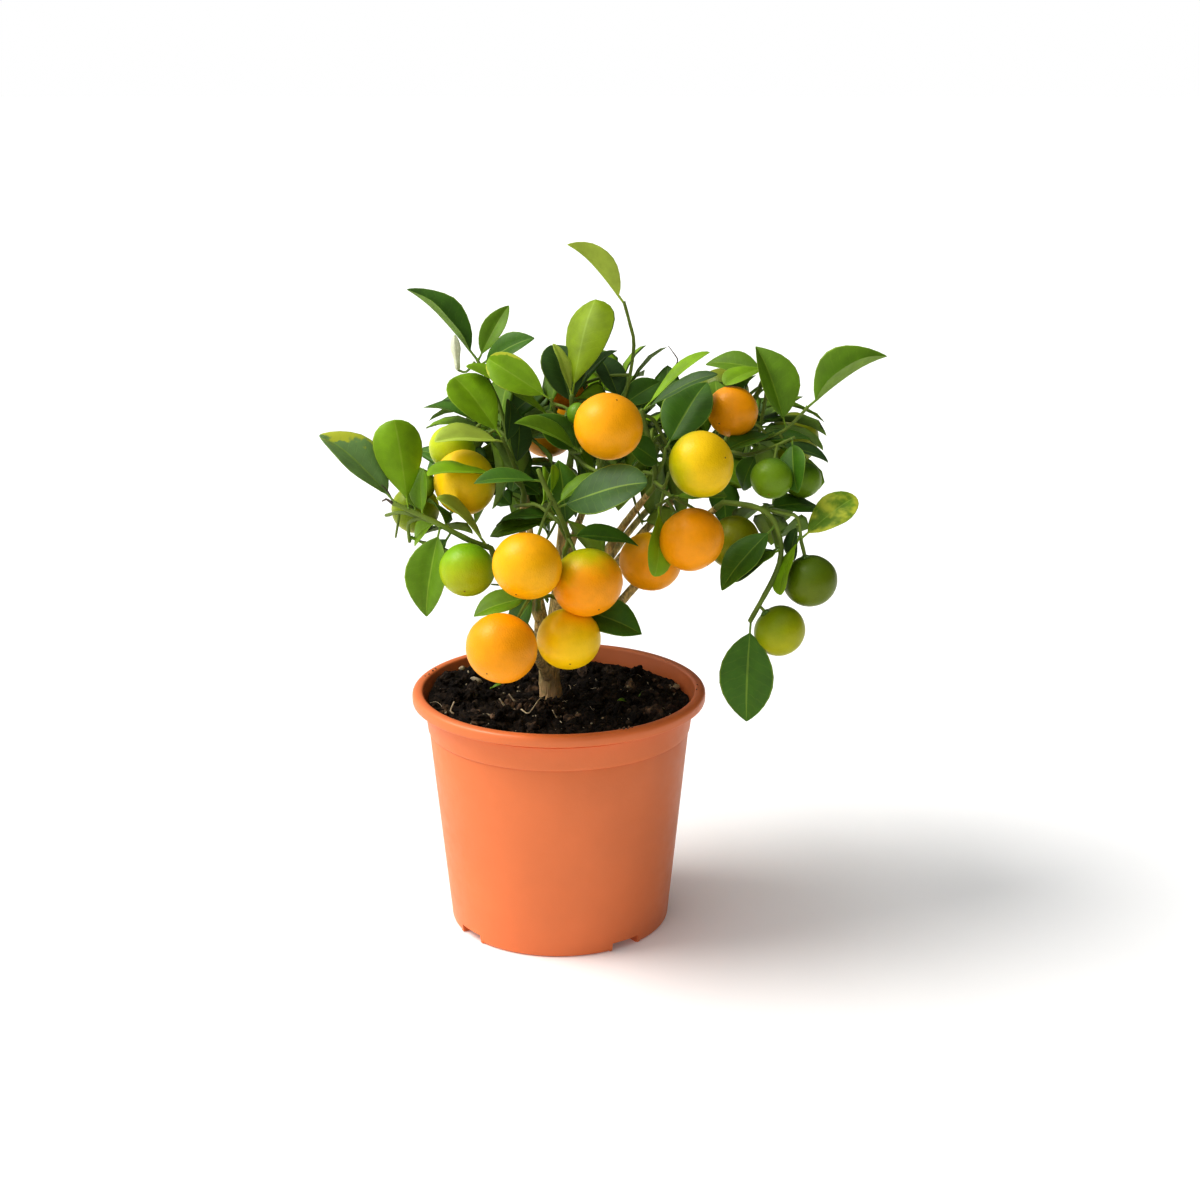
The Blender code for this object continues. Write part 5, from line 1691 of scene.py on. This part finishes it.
def fruit_shape(fruit, way, draw):
    """A fruit drawn ring by ring from its stalk's dimple to its free end, a little uneven."""
    centre = Vector(fruit.centre)
    axis = (way[-1] - centre).normalized()
    across, other = axes_round(axis)
    radius, salt = fruit.diameter / 2, draw.uniform(0, 50)
    points, faces, places = [], [], []
    for j in range(1, FRUIT_ROWS):
        lean = math.pi * j / FRUIT_ROWS
        for k in range(FRUIT_COLUMNS):
            turn = math.tau * k / FRUIT_COLUMNS
            flat = math.sin(lean)
            x, y, z = math.cos(turn) * flat, math.sin(turn) * flat, math.cos(lean)
            size = radius * (1 + UNEVEN * noise.noise(Vector((x * 1.6 + salt, y * 1.6, z * 1.6))))
            high = z * FRUIT_FLATNESS - DIMPLE_DEPTH * math.exp(-((lean / DIMPLE_WIDTH) ** 2))
            high += FREE_END_DEPTH * math.exp(-(((math.pi - lean) / DIMPLE_WIDTH) ** 2))
            points.append(centre + (across * x + other * y + axis * high) * size)
            places.append((k / FRUIT_COLUMNS, j / FRUIT_ROWS))
    for j in range(FRUIT_ROWS - 2):
        for k in range(FRUIT_COLUMNS):
            a, b = j * FRUIT_COLUMNS + k, j * FRUIT_COLUMNS + (k + 1) % FRUIT_COLUMNS
            faces.append([a, a + FRUIT_COLUMNS, b + FRUIT_COLUMNS, b])
    top, end, last = len(points), len(points) + 1, (FRUIT_ROWS - 2) * FRUIT_COLUMNS
    points += [
        centre + axis * radius * (FRUIT_FLATNESS - DIMPLE_DEPTH),
        centre - axis * radius * (FRUIT_FLATNESS - FREE_END_DEPTH),
    ]
    places += [(0.5, 0.0), (0.5, 1.0)]
    for k in range(FRUIT_COLUMNS):
        b = (k + 1) % FRUIT_COLUMNS
        faces += [[k, b, top], [last + b, last + k, end]]
    return points, faces, places


def calyx_shape(fruit, way):
    """The small green star that holds the fruit."""
    centre = Vector(fruit.centre)
    axis = (way[-1] - centre).normalized()
    axes = axes_round(axis)
    radius = fruit.diameter / 2
    seat = centre + axis * radius * (FRUIT_FLATNESS - DIMPLE_DEPTH)
    size = CALYX_RADIUS * min(1.0, radius / SMALL_FRUIT_RADIUS)
    points, around = [], CALYX_LOBES * 4
    for height, share in CALYX_RINGS:
        for k in range(around):
            turn = math.tau * k / around
            lobe = 0.74 + 0.26 * math.cos(CALYX_LOBES * turn)
            spread = size * share * (lobe if share > 0.6 else 0.8)
            points.append(seat + axis * height + turned_round(axes, turn) * spread)
    under, over = list(range(around))[::-1], list(range(len(points) - around, len(points)))
    return points, [*band_faces(len(CALYX_RINGS), around), under, over]


def draw_fruit():
    """All the fruit as one piece, and their green stars and the scars of their free ends as another."""
    crown = grown_crown()
    fruit_sheaf, star_sheaf = Sheaf("fruit"), Sheaf("calyxes")
    draw = random.Random(FRUIT_SEED)
    star, scar = plain_finish("calyx"), plain_finish("scar")
    for mass in MASSES:
        for fruit, way in crown.fruits[mass.name]:
            points, faces, places = fruit_shape(fruit, way, draw)
            fruit_sheaf.add(points, faces, fruit_finish(fruit.look), places)
            star_sheaf.add(*calyx_shape(fruit, way), star)
            end = Vector(fruit.centre) * 2 - (points[-2] + points[-1]) / 2
            axis = (points[-1] - end).normalized()
            star_sheaf.add(*small_ball(points[-1], 0.5, axis * 0.25), scar)
    fruit_sheaf.build("leaf")
    star_sheaf.build("leaf")


def draw_blossom():
    """The one flower bud on its stalk, and the dry bits left at twig tips."""

    def petals(_, turn):
        return 1 + 0.12 * math.cos(BLOSSOM_PETALS * turn)

    sheaf = Sheaf("blossom")
    foot, tip = Vector(BLOSSOM_FOOT), Vector(BLOSSOM_TIP)
    steps = len(BLOSSOM_SWELL) - 1
    way = [foot.lerp(tip, k / steps) for k in range(steps + 1)]
    radii = [BLOSSOM_RADIUS * swell for swell in BLOSSOM_SWELL]
    sheaf.add(*sweep(way, radii, BLOSSOM_SIDES, petals), plain_finish("petal"))
    fine, radii = resampled(BLOSSOM_STALK, BLOSSOM_STALK_RADII, FINE_STALK_STEP)
    sheaf.add(*sweep(fine, radii, TWIG_SIDES), plain_finish("blossom_stalk"))
    sheaf.build("leaf")
    dry = Sheaf("dry_bits")
    for points, radius in DRY_BITS:
        fine, radii = resampled(points, taper(points, radius, radius * 0.4), FINE_STALK_STEP)
        dry.add(*sweep(fine, radii, TWIG_SIDES), plain_finish("dry_bit"))
    dry.build("bark")


def wall_radius(height):
    """The pot's outer radius at a height of its body."""
    top = COLLAR_FOOT_RADIUS - COLLAR_STEP
    return FOOT_RADIUS + (top - FOOT_RADIUS) * height / COLLAR_FOOT_HEIGHT


def rounded(corner, start, end, steps=4):
    """Points of a smooth corner from start to end, round a corner point."""
    made = []
    for k in range(steps + 1):
        t = k / steps
        made.append(tuple(
            (1 - t) ** 2 * a + 2 * t * (1 - t) * c + t * t * b for a, c, b in zip(start, corner, end)
        ))
    return made


def pot_section():
    """The pot's section, from the middle of its underside round the rim to the middle of its floor."""
    rim_foot = POT_HEIGHT - RIM_HEIGHT
    inner_top = RIM_RADIUS - RIM_LIP
    collar_top = wall_radius(COLLAR_FOOT_HEIGHT)
    section = [(MIDDLE_HOLE, 0.0), (NOTCH_INNER_RADIUS - 8, 0.0)]
    section += rounded((FOOT_RADIUS, 0), (FOOT_RADIUS - 2.2, 0), (wall_radius(2.2), 2.2))
    section += [(wall_radius(h), h) for h in (20, 50, 80, COLLAR_FOOT_HEIGHT - 1.2)]
    section += [
        (collar_top - 0.35, COLLAR_FOOT_HEIGHT - 0.5),
        (collar_top - 0.35, COLLAR_FOOT_HEIGHT - 0.05),
        (COLLAR_FOOT_RADIUS - 0.25, COLLAR_FOOT_HEIGHT),
        (COLLAR_FOOT_RADIUS, COLLAR_FOOT_HEIGHT + 0.35),
        (COLLAR_FOOT_RADIUS + 0.15, COLLAR_FOOT_HEIGHT + 1.6),
        (COLLAR_TOP_RADIUS - 0.3, rim_foot - 2.4),
        (COLLAR_TOP_RADIUS - 0.9, rim_foot - 1.9),
    ]
    section += rounded(
        (COLLAR_TOP_RADIUS - 0.8, rim_foot - 0.1), (COLLAR_TOP_RADIUS - 0.9, rim_foot - 0.8),
        (COLLAR_TOP_RADIUS + 0.6, rim_foot), 3
    )
    section += rounded(
        (RIM_RADIUS - 0.1, rim_foot), (RIM_RADIUS - 1.0, rim_foot), (RIM_RADIUS - 0.05, rim_foot + 0.8), 3
    )
    section += rounded(
        (RIM_RADIUS, POT_HEIGHT), (RIM_RADIUS, rim_foot + 3.0), (RIM_RADIUS - 3.2, POT_HEIGHT), 6
    )
    section += rounded(
        (inner_top, POT_HEIGHT), (RIM_RADIUS - 3.8, POT_HEIGHT), (inner_top - 0.1, POT_HEIGHT - 1.4)
    )
    section += [(COLLAR_TOP_RADIUS - WALL, rim_foot - 3.0), (collar_top - WALL, COLLAR_FOOT_HEIGHT)]
    section += [(wall_radius(FLOOR) - WALL, FLOOR), (MIDDLE_HOLE, FLOOR)]
    return section


def deselect():
    """Nothing selected, and object mode on."""
    if bpy.context.object and bpy.context.object.mode != "OBJECT":
        bpy.ops.object.mode_set(mode="OBJECT")
    bpy.ops.object.select_all(action="DESELECT")


def pick(obj):
    """Only this object selected, and active."""
    deselect()
    obj.select_set(True)
    bpy.context.view_layer.objects.active = obj


def drawn_up(name, section, segments):
    """A turned form, drawn up as by hand: a ring, extruded and resized from point to point of its section."""
    deselect()
    radius, height = section[0]
    bpy.ops.mesh.primitive_circle_add(
        vertices=segments, radius=radius * MM, fill_type="NOTHING", location=(0, 0, height * MM)
    )
    obj = bpy.context.object
    obj.name = obj.data.name = name
    bpy.ops.object.transform_apply(location=True, rotation=False, scale=False)
    bpy.ops.object.mode_set(mode="EDIT")
    bpy.ops.mesh.select_all(action="SELECT")
    for next_radius, next_height in section[1:]:
        share, rise = next_radius / radius, (next_height - height) * MM
        bpy.ops.mesh.extrude_region_move(TRANSFORM_OT_translate={"value": (0, 0, rise)})
        bpy.ops.transform.resize(value=(share, share, 1), center_override=(0, 0, next_height * MM))
        radius, height = next_radius, next_height
    bpy.ops.mesh.select_all(action="DESELECT")
    bpy.ops.mesh.select_mode(type="EDGE")
    bpy.ops.mesh.select_non_manifold()
    bpy.ops.mesh.edge_face_add()
    bpy.ops.mesh.select_all(action="SELECT")
    bpy.ops.mesh.normals_make_consistent(inside=False)
    bpy.ops.object.mode_set(mode="OBJECT")
    return obj


def block(name, swell, height, inner, outer, foot):
    """A block across the pot's foot, narrower at its top, from a cube whose top is drawn in."""
    deselect()
    wide, middle = NOTCH_WIDTH + 2 * swell, (foot + height) / 2 * MM
    bpy.ops.mesh.primitive_cube_add(size=1, location=((inner + outer) / 2 * MM, 0, middle))
    obj = bpy.context.object
    obj.name = name
    obj.scale = ((outer - inner) * MM, wide * MM, (height - foot) * MM)
    bpy.ops.object.transform_apply(location=True, rotation=False, scale=True)
    for vert in obj.data.vertices:
        vert.select = vert.co.z > middle
    bpy.ops.object.mode_set(mode="EDIT")
    drawn_in = (wide - 2 * NOTCH_HEIGHT * NOTCH_SLOPE) / wide
    bpy.ops.mesh.select_mode(type="VERT")
    bpy.ops.transform.resize(value=(1, drawn_in, 1), center_override=(0, 0, height * MM))
    bpy.ops.object.mode_set(mode="OBJECT")
    return obj


def turned_to(obj, bearing):
    """An object turned about the upright axis, with the turn in its mesh."""
    pick(obj)
    obj.rotation_euler = (0, 0, math.radians(bearing))
    bpy.ops.object.transform_apply(location=False, rotation=True, scale=False)
    return obj


def cut_with(obj, tool, operation):
    """Applies a Boolean of one object and removes the tool."""
    modifier = obj.modifiers.new(operation.lower(), "BOOLEAN")
    modifier.operation = operation
    modifier.solver = "EXACT"
    modifier.object = tool
    pick(obj)
    bpy.ops.object.modifier_apply(modifier=modifier.name)
    bpy.data.objects.remove(tool)


def draw_pot():
    """The pot: a drawn-up shell with a rolled rim, and four drained notches in its foot."""
    pot = drawn_up("pot_shell", pot_section(), sizes().pot_segments)
    for k in range(NOTCH_COUNT):
        bearing = NOTCH_BEARING + k * 360 / NOTCH_COUNT
        pocket = block("pocket", POCKET_WALL, NOTCH_HEIGHT + POCKET_WALL, NOTCH_INNER_RADIUS - POCKET_WALL,
                       wall_radius(0) - 0.6, 0.5)
        cut_with(pot, turned_to(pocket, bearing), "UNION")
        notch = block("notch", 0, NOTCH_HEIGHT, NOTCH_INNER_RADIUS, RIM_RADIUS, -1.0)
        cut_with(pot, turned_to(notch, bearing), "DIFFERENCE")
        deselect()
        bpy.ops.mesh.primitive_cylinder_add(
            vertices=DRAIN_SIDES, radius=DRAIN_RADIUS * MM, depth=4 * POCKET_WALL * MM,
            location=((NOTCH_INNER_RADIUS + 4.5) * MM, 0, (NOTCH_HEIGHT + POCKET_WALL) * MM),
        )
        drain = bpy.context.object
        bpy.ops.object.transform_apply(location=True, rotation=False, scale=False)
        cut_with(pot, turned_to(drain, bearing), "DIFFERENCE")
    pot.data.materials.clear()
    pot.data.materials.append(pot_finish())
    pick(pot)
    bpy.ops.object.shade_smooth_by_angle(angle=math.radians(SMOOTH_ANGLE))
    return mounted(pot, ["pot"])


def soil_height(x, y):
    """The height of the soil: lumpy, and dipping to a small flat where the trunk stands."""
    off = math.hypot(x - TRUNK_FOOT[0], y - TRUNK_FOOT[1])
    dip = max(0.0, min(1.0, (SOIL_DIP_RADIUS - off) / (SOIL_DIP_RADIUS - SOIL_FLAT_RADIUS)))
    lump = noise.noise(Vector((x, y, 0)) / SOIL_LUMP_SIZE) * SOIL_LUMP
    return SOIL_EDGE_HEIGHT + lump * (1 - dip) + (SOIL_MIDDLE_HEIGHT - SOIL_EDGE_HEIGHT) * dip


def clod_at(place):
    """How far a ragged lump stands out at a place: most in its middle, least in the cleft round it."""
    near = noise.voronoi(place)[0]
    return min(1.0, (near[1] - near[0]) * 1.5) - 0.5


def rise_at(x, y, heap):
    """The height that a round heap adds at a place."""
    return math.exp(-((x - heap[0]) ** 2 + (y - heap[1]) ** 2) / heap[2] ** 2) * heap[3]


def clod_height(x, y):
    """Height of the soil with its clods: ragged lumps with clefts between them."""
    rough = sizes().soil_roughness / MM
    bent = Vector((x, y, 0)) + noise.noise_vector(Vector((x, y, 0)) / 7.0) * 2.6
    clod = clod_at(bent / 7.5)
    lump = clod_at(bent / 3.1 + Vector((9, 4, 0)))
    grit = noise.fractal(Vector((x, y, 5)) / 2.4, 0.8, 2.1, 4)
    wander = noise.noise(Vector((x, y, 3)) / 15.0)
    edge = min(1.0, max(0.0, (SOIL_EDGE_RADIUS - math.hypot(x, y)) / 6.0))
    relief = rough * (0.95 * clod + 0.5 * lump + 0.45 * grit + 0.9 * wander) * (0.35 + 0.65 * edge)
    tilt = SOIL_TILT * max(-1.0, min(1.0, (-0.8 * x - 0.35 * y) / SOIL_EDGE_RADIUS))
    return soil_height(x, y) + relief + rise_at(x, y, MOUND) + tilt + rise_at(x, y, BANK)


def draw_soil():
    """The soil: a turned body whose top is pushed up and down into clods."""
    shelf_radius = NOTCH_INNER_RADIUS - POCKET_WALL - 1.0
    shelf = NOTCH_HEIGHT + POCKET_WALL + 1.0
    section = [
        (MIDDLE_HOLE, FLOOR + GAP),
        (shelf_radius, FLOOR + GAP),
        (shelf_radius, shelf),
        (wall_radius(8) - WALL - 0.6, shelf),
        (wall_radius(COLLAR_FOOT_HEIGHT) - WALL - GAP - 0.3, COLLAR_FOOT_HEIGHT),
    ]
    for k in range(SOIL_RINGS + 1):
        section.append((SOIL_EDGE_RADIUS * (1 - 0.96 * k / SOIL_RINGS), SOIL_EDGE_HEIGHT))
    soil = drawn_up("soil_body", section, SOIL_SEGMENTS)
    for vert in soil.data.vertices:
        x, y, z = vert.co / MM
        if z > SOIL_EDGE_HEIGHT - 0.5:
            vert.co.z = clod_height(x, y) * MM
    soil.data.shade_smooth()
    soil.data.materials.append(soil_finish("soil"))
    return mounted(soil, ["soil"])


def clod_shape(centre, radius, draw, level):
    """A crumb: a ball of few faces, squeezed and dented by chance."""
    bm = bmesh.new()
    bmesh.ops.create_icosphere(bm, subdivisions=level, radius=1.0)
    squeeze = Vector((draw.uniform(0.6, 1.35), draw.uniform(0.6, 1.35), draw.uniform(0.45, 0.9)))
    turn = Quaternion(heading(draw.uniform(0, 360), draw.uniform(-90, 90)), draw.uniform(0, math.tau))
    salt = Vector((draw.uniform(0, 50), 0, 0))
    points = []
    for vert in bm.verts:
        dent = 1 + 0.55 * noise.noise(vert.co * 1.5 + salt) + 0.25 * noise.noise(vert.co * 4.0 + salt)
        local = Vector(a * b for a, b in zip(vert.co * dent, squeeze))
        points.append(centre + (turn @ local) * radius)
    faces = [[v.index for v in face.verts] for face in bm.faces]
    bm.free()
    return points, faces


def over_soil(x, y, rise):
    """The point at a height over the soil's clods."""
    return Vector((x, y, clod_height(x, y) + rise))


def on_soil(draw, reach=0.985):
    """A drawn point on the soil."""
    far, turn = SOIL_EDGE_RADIUS * reach * math.sqrt(draw.random()), draw.uniform(0, math.tau)
    return over_soil(far * math.cos(turn), far * math.sin(turn), 0.0)


def draw_crumbs():
    """Loose peat crumbs on the soil and the rim."""
    draw = random.Random(SOIL_SEED)
    crumbs = Sheaf("soil_crumbs")
    kinds = [soil_finish(name) for name in ("peat_dark", "peat", "peat_brown", "peat_light")]
    top = sizes().crumb_size / MM
    for _ in range(sizes().crumbs):
        radius = top * (0.09 + 0.91 * draw.random() ** 4.0)
        place = on_soil(draw, 0.995 - radius / 66)
        place.z += radius * draw.uniform(-0.3, 0.45)
        kind = kinds[min(3, int(3.4 * draw.random() ** 2.2))]
        level = 3 if radius > 0.6 * top else 2 if radius > 0.3 * top else 1
        crumbs.add(*clod_shape(place, radius, draw, level), kind)
    for _ in range(MOUND_CRUMBS):
        turn, far = draw.uniform(0, math.tau), MOUND[2] * 1.1 * math.sqrt(draw.random())
        x, y = MOUND[0] + far * math.cos(turn), MOUND[1] + far * math.sin(turn)
        radius = draw.uniform(0.3, 1.3)
        shape = clod_shape(over_soil(x, y, radius * draw.uniform(0, 0.7)), radius, draw, 1)
        crumbs.add(*shape, kinds[draw.choice((1, 2, 3))])
    for x, y, radius in RIM_CRUMBS:
        place = Vector((x, y, POT_HEIGHT + radius * 0.3))
        crumbs.add(*clod_shape(place, radius, draw, 2), soil_finish("peat_dry"))
    crumbs.build("soil", smooth=False)
    draw_grains(draw)
    draw_fibres(draw)
    draw_greens()


def draw_grains(draw):
    """Pale perlite grains on the soil."""
    grains = Sheaf("perlite_grains")
    pale = plain_finish("perlite")
    for x, y, radius in SHOWN_GRAINS:
        grains.add(*clod_shape(over_soil(x, y, radius * 0.6), radius, draw, 2), pale)
    for _ in range(sizes().perlite):
        place = on_soil(draw)
        radius = draw.uniform(0.3, 0.8)
        grains.add(*clod_shape(place + Vector((0, 0, radius * 0.7)), radius, draw, 1), pale)
    grains.build("soil")


def draw_fibres(draw):
    """Pale root fibres on the clods."""
    sheaf = Sheaf("root_fibres")
    ways = [(radius, [over_soil(*point) for point in way]) for radius, way in SHOWN_FIBRES]
    for _ in range(sizes().fibres):
        way = [on_soil(draw, 0.93)]
        turn, bend = draw.uniform(0, math.tau), draw.uniform(-0.9, 0.9)
        for _ in range(3):
            on = way[-1] + Vector((math.cos(turn), math.sin(turn), 0)) * draw.uniform(1.5, 3.5)
            on.z = clod_height(on.x, on.y) + draw.uniform(0.3, 1.4)
            way.append(on)
            turn += bend
        ways.append((draw.uniform(0.14, 0.26), way))
    for radius, way in ways:
        fine, radii = resampled(way, taper(way, radius, radius * 0.6), FIBRE_STEP)
        sheaf.add(*sweep(fine, radii, FIBRE_SIDES), plain_finish("root_fibre"))
    sheaf.build("soil")


def draw_greens():
    """A few fallen green bits on the soil."""
    greens = Sheaf("fallen_green")
    for x, y, length, bearing in GREEN_BITS:
        blade = Blade(
            "mid", over_soil(x, y, 0.8), heading(bearing, 22), length, length * 0.42, 20, 20, 0.05,
            HEART_STATIONS
        )
        shape = leaf_shape(blade, FINE_COLUMNS, FINE_ROWS, Wave(0.2, 1.5, 0.3, 0.0), 0.3)
        add_leaf_shape(greens, blade.look, shape)
    greens.build("leaf")


def draw_floor():
    """The pale floor, which lights up a little by itself."""
    deselect()
    bpy.ops.mesh.primitive_plane_add(size=FLOOR_SIZE, location=(0, 0, 0))
    floor = bpy.context.object
    floor.name = "studio_floor"
    made = Finish("studio_floor", 0.8)
    made.colour(FLOOR_COLOUR)
    feed(made.tree, made.shader, {"Emission Color": (1, 1, 1, 1), "Emission Strength": FLOOR_LIFT})
    floor.data.materials.append(made.material)


def draw_surround(stage):
    """The surround: white where the camera sees it, and brighter on the side of the key light."""
    world = bpy.data.worlds.new("studio")
    world.use_nodes = True
    tree = world.node_tree
    seen = add_node(tree, "ShaderNodeBackground", {"Color": (1, 1, 1, 1), "Strength": 1.0})
    direction = tree.nodes.new("ShaderNodeTexCoord").outputs["Generated"]
    inputs = {0: direction, 1: heading(BRIGHT_BEARING, BRIGHT_RISE)}
    side = add_node(tree, "ShaderNodeVectorMath", inputs, operation="DOT_PRODUCT").outputs["Value"]
    strength = ranged(tree, side, *BRIGHT_SPREAD, stage.dark_side, stage.bright_side, "SMOOTHSTEP")
    fill = tree.nodes["Background"]
    feed(tree, fill, {"Color": rgba(FILL_COLOUR), "Strength": strength})
    ray = tree.nodes.new("ShaderNodeLightPath").outputs["Is Camera Ray"]
    both = add_node(tree, "ShaderNodeMixShader", {0: ray, 1: fill.outputs[0], 2: seen.outputs[0]})
    feed(tree, tree.nodes["World Output"], {"Surface": both.outputs[0]})
    bpy.context.scene.world = world


def draw_stage():
    """Pale floor, white surround, one soft key light from the left, and the camera."""
    scene = bpy.context.scene
    stage = scene.orange_tree_stage
    draw_floor()
    draw_surround(stage)
    key_data = bpy.data.lights.new("key", "SUN")
    key_data.energy = stage.key_strength
    key_data.angle = stage.key_angle
    key_data.color = KEY_COLOUR
    key = bpy.data.objects.new("key", key_data)
    towards = heading(KEY_BEARING, KEY_RISE)
    key.location = towards * 1.5
    key.rotation_euler = towards.to_track_quat("Z", "Y").to_euler()
    scene.collection.objects.link(key)
    camera_data = bpy.data.cameras.new("camera")
    camera_data.sensor_width = SENSOR
    camera_data.lens = SENSOR * FOCAL_PIXELS / PHOTO_PIXELS
    camera_data.clip_end = 100.0
    camera = bpy.data.objects.new("camera", camera_data)
    camera.location = CAMERA_PLACE
    camera.rotation_euler = (math.pi / 2 - CAMERA_PITCH, 0, 0)
    scene.collection.objects.link(camera)
    scene.camera = camera
    scene.view_settings.view_transform = "Standard"
    scene.view_settings.gamma = VIEW_GAMMA


class MakeStage(bpy.types.Operator):
    """Sets the camera, the floor and the studio light"""

    bl_idname = "orange_tree.stage"
    bl_label = "Stage"

    def execute(self, context):
        draw_stage()
        return {"FINISHED"}


class MakePot(bpy.types.Operator):
    """Draws up the nursery pot and cuts the notches in its foot"""

    bl_idname = "orange_tree.pot"
    bl_label = "Pot"

    def execute(self, context):
        draw_pot()
        return {"FINISHED"}


class MakeSoil(bpy.types.Operator):
    """Fills the pot with cloddy soil, crumbs, perlite and root fibres"""

    bl_idname = "orange_tree.soil"
    bl_label = "Soil"

    def execute(self, context):
        noise.seed_set(CLOD_SEED)
        draw_soil()
        draw_crumbs()
        return {"FINISHED"}


class MakeLimbs(bpy.types.Operator):
    """Raises the trunk and its boughs with the relief of their bark"""

    bl_idname = "orange_tree.limbs"
    bl_label = "Trunk and boughs"

    def execute(self, context):
        draw_limbs()
        return {"FINISHED"}


class MakeTwigs(bpy.types.Operator):
    """Grows stems, shoots, stalks and buds"""

    bl_idname = "orange_tree.twigs"
    bl_label = "Twigs"

    def execute(self, context):
        draw_twigs()
        return {"FINISHED"}


class MakeLeaves(bpy.types.Operator):
    """Grows the leaves of every mass of foliage"""

    bl_idname = "orange_tree.leaves"
    bl_label = "Leaves"

    def execute(self, context):
        for mass in MASSES:
            draw_leaves(mass)
        return {"FINISHED"}


class MakeFruit(bpy.types.Operator):
    """Hangs the fruit, the flower bud and the dry bits"""

    bl_idname = "orange_tree.fruit"
    bl_label = "Fruit and blossom"

    def execute(self, context):
        draw_fruit()
        draw_blossom()
        return {"FINISHED"}


OPERATORS = (MakeStage, MakePot, MakeSoil, MakeLimbs, MakeTwigs, MakeLeaves, MakeFruit)


class OrangeTreePanel(bpy.types.Panel):
    """Lists the steps that make the orange tree"""

    bl_idname = "VIEW3D_PT_orange_tree"
    bl_label = "Orange tree"
    bl_space_type = "VIEW_3D"
    bl_region_type = "UI"
    bl_category = "Orange tree"

    def draw(self, context):
        for group in ("orange_tree_sizes", "orange_tree_colours", "orange_tree_stage"):
            settings = getattr(context.scene, group)
            for name in settings.__annotations__:
                self.layout.prop(settings, name)
        for operator in OPERATORS:
            self.layout.operator(operator.bl_idname)


GROUPS = {
    "orange_tree_sizes": OrangeTreeSizes,
    "orange_tree_colours": OrangeTreeColours,
    "orange_tree_stage": OrangeTreeStage,
}


def register():
    for kind in (*GROUPS.values(), *OPERATORS, OrangeTreePanel):
        bpy.utils.register_class(kind)
    for name, kind in GROUPS.items():
        setattr(bpy.types.Scene, name, bpy.props.PointerProperty(type=kind))


def unregister():
    for name in GROUPS:
        delattr(bpy.types.Scene, name)
    for kind in (OrangeTreePanel, *reversed(OPERATORS), *reversed(GROUPS.values())):
        bpy.utils.unregister_class(kind)


def main():
    register()
    bpy.ops.orange_tree.stage()
    bpy.ops.orange_tree.pot()
    bpy.ops.orange_tree.soil()
    bpy.ops.orange_tree.limbs()
    bpy.ops.orange_tree.twigs()
    bpy.ops.orange_tree.leaves()
    bpy.ops.orange_tree.fruit()


if __name__ == "__main__":
    main()
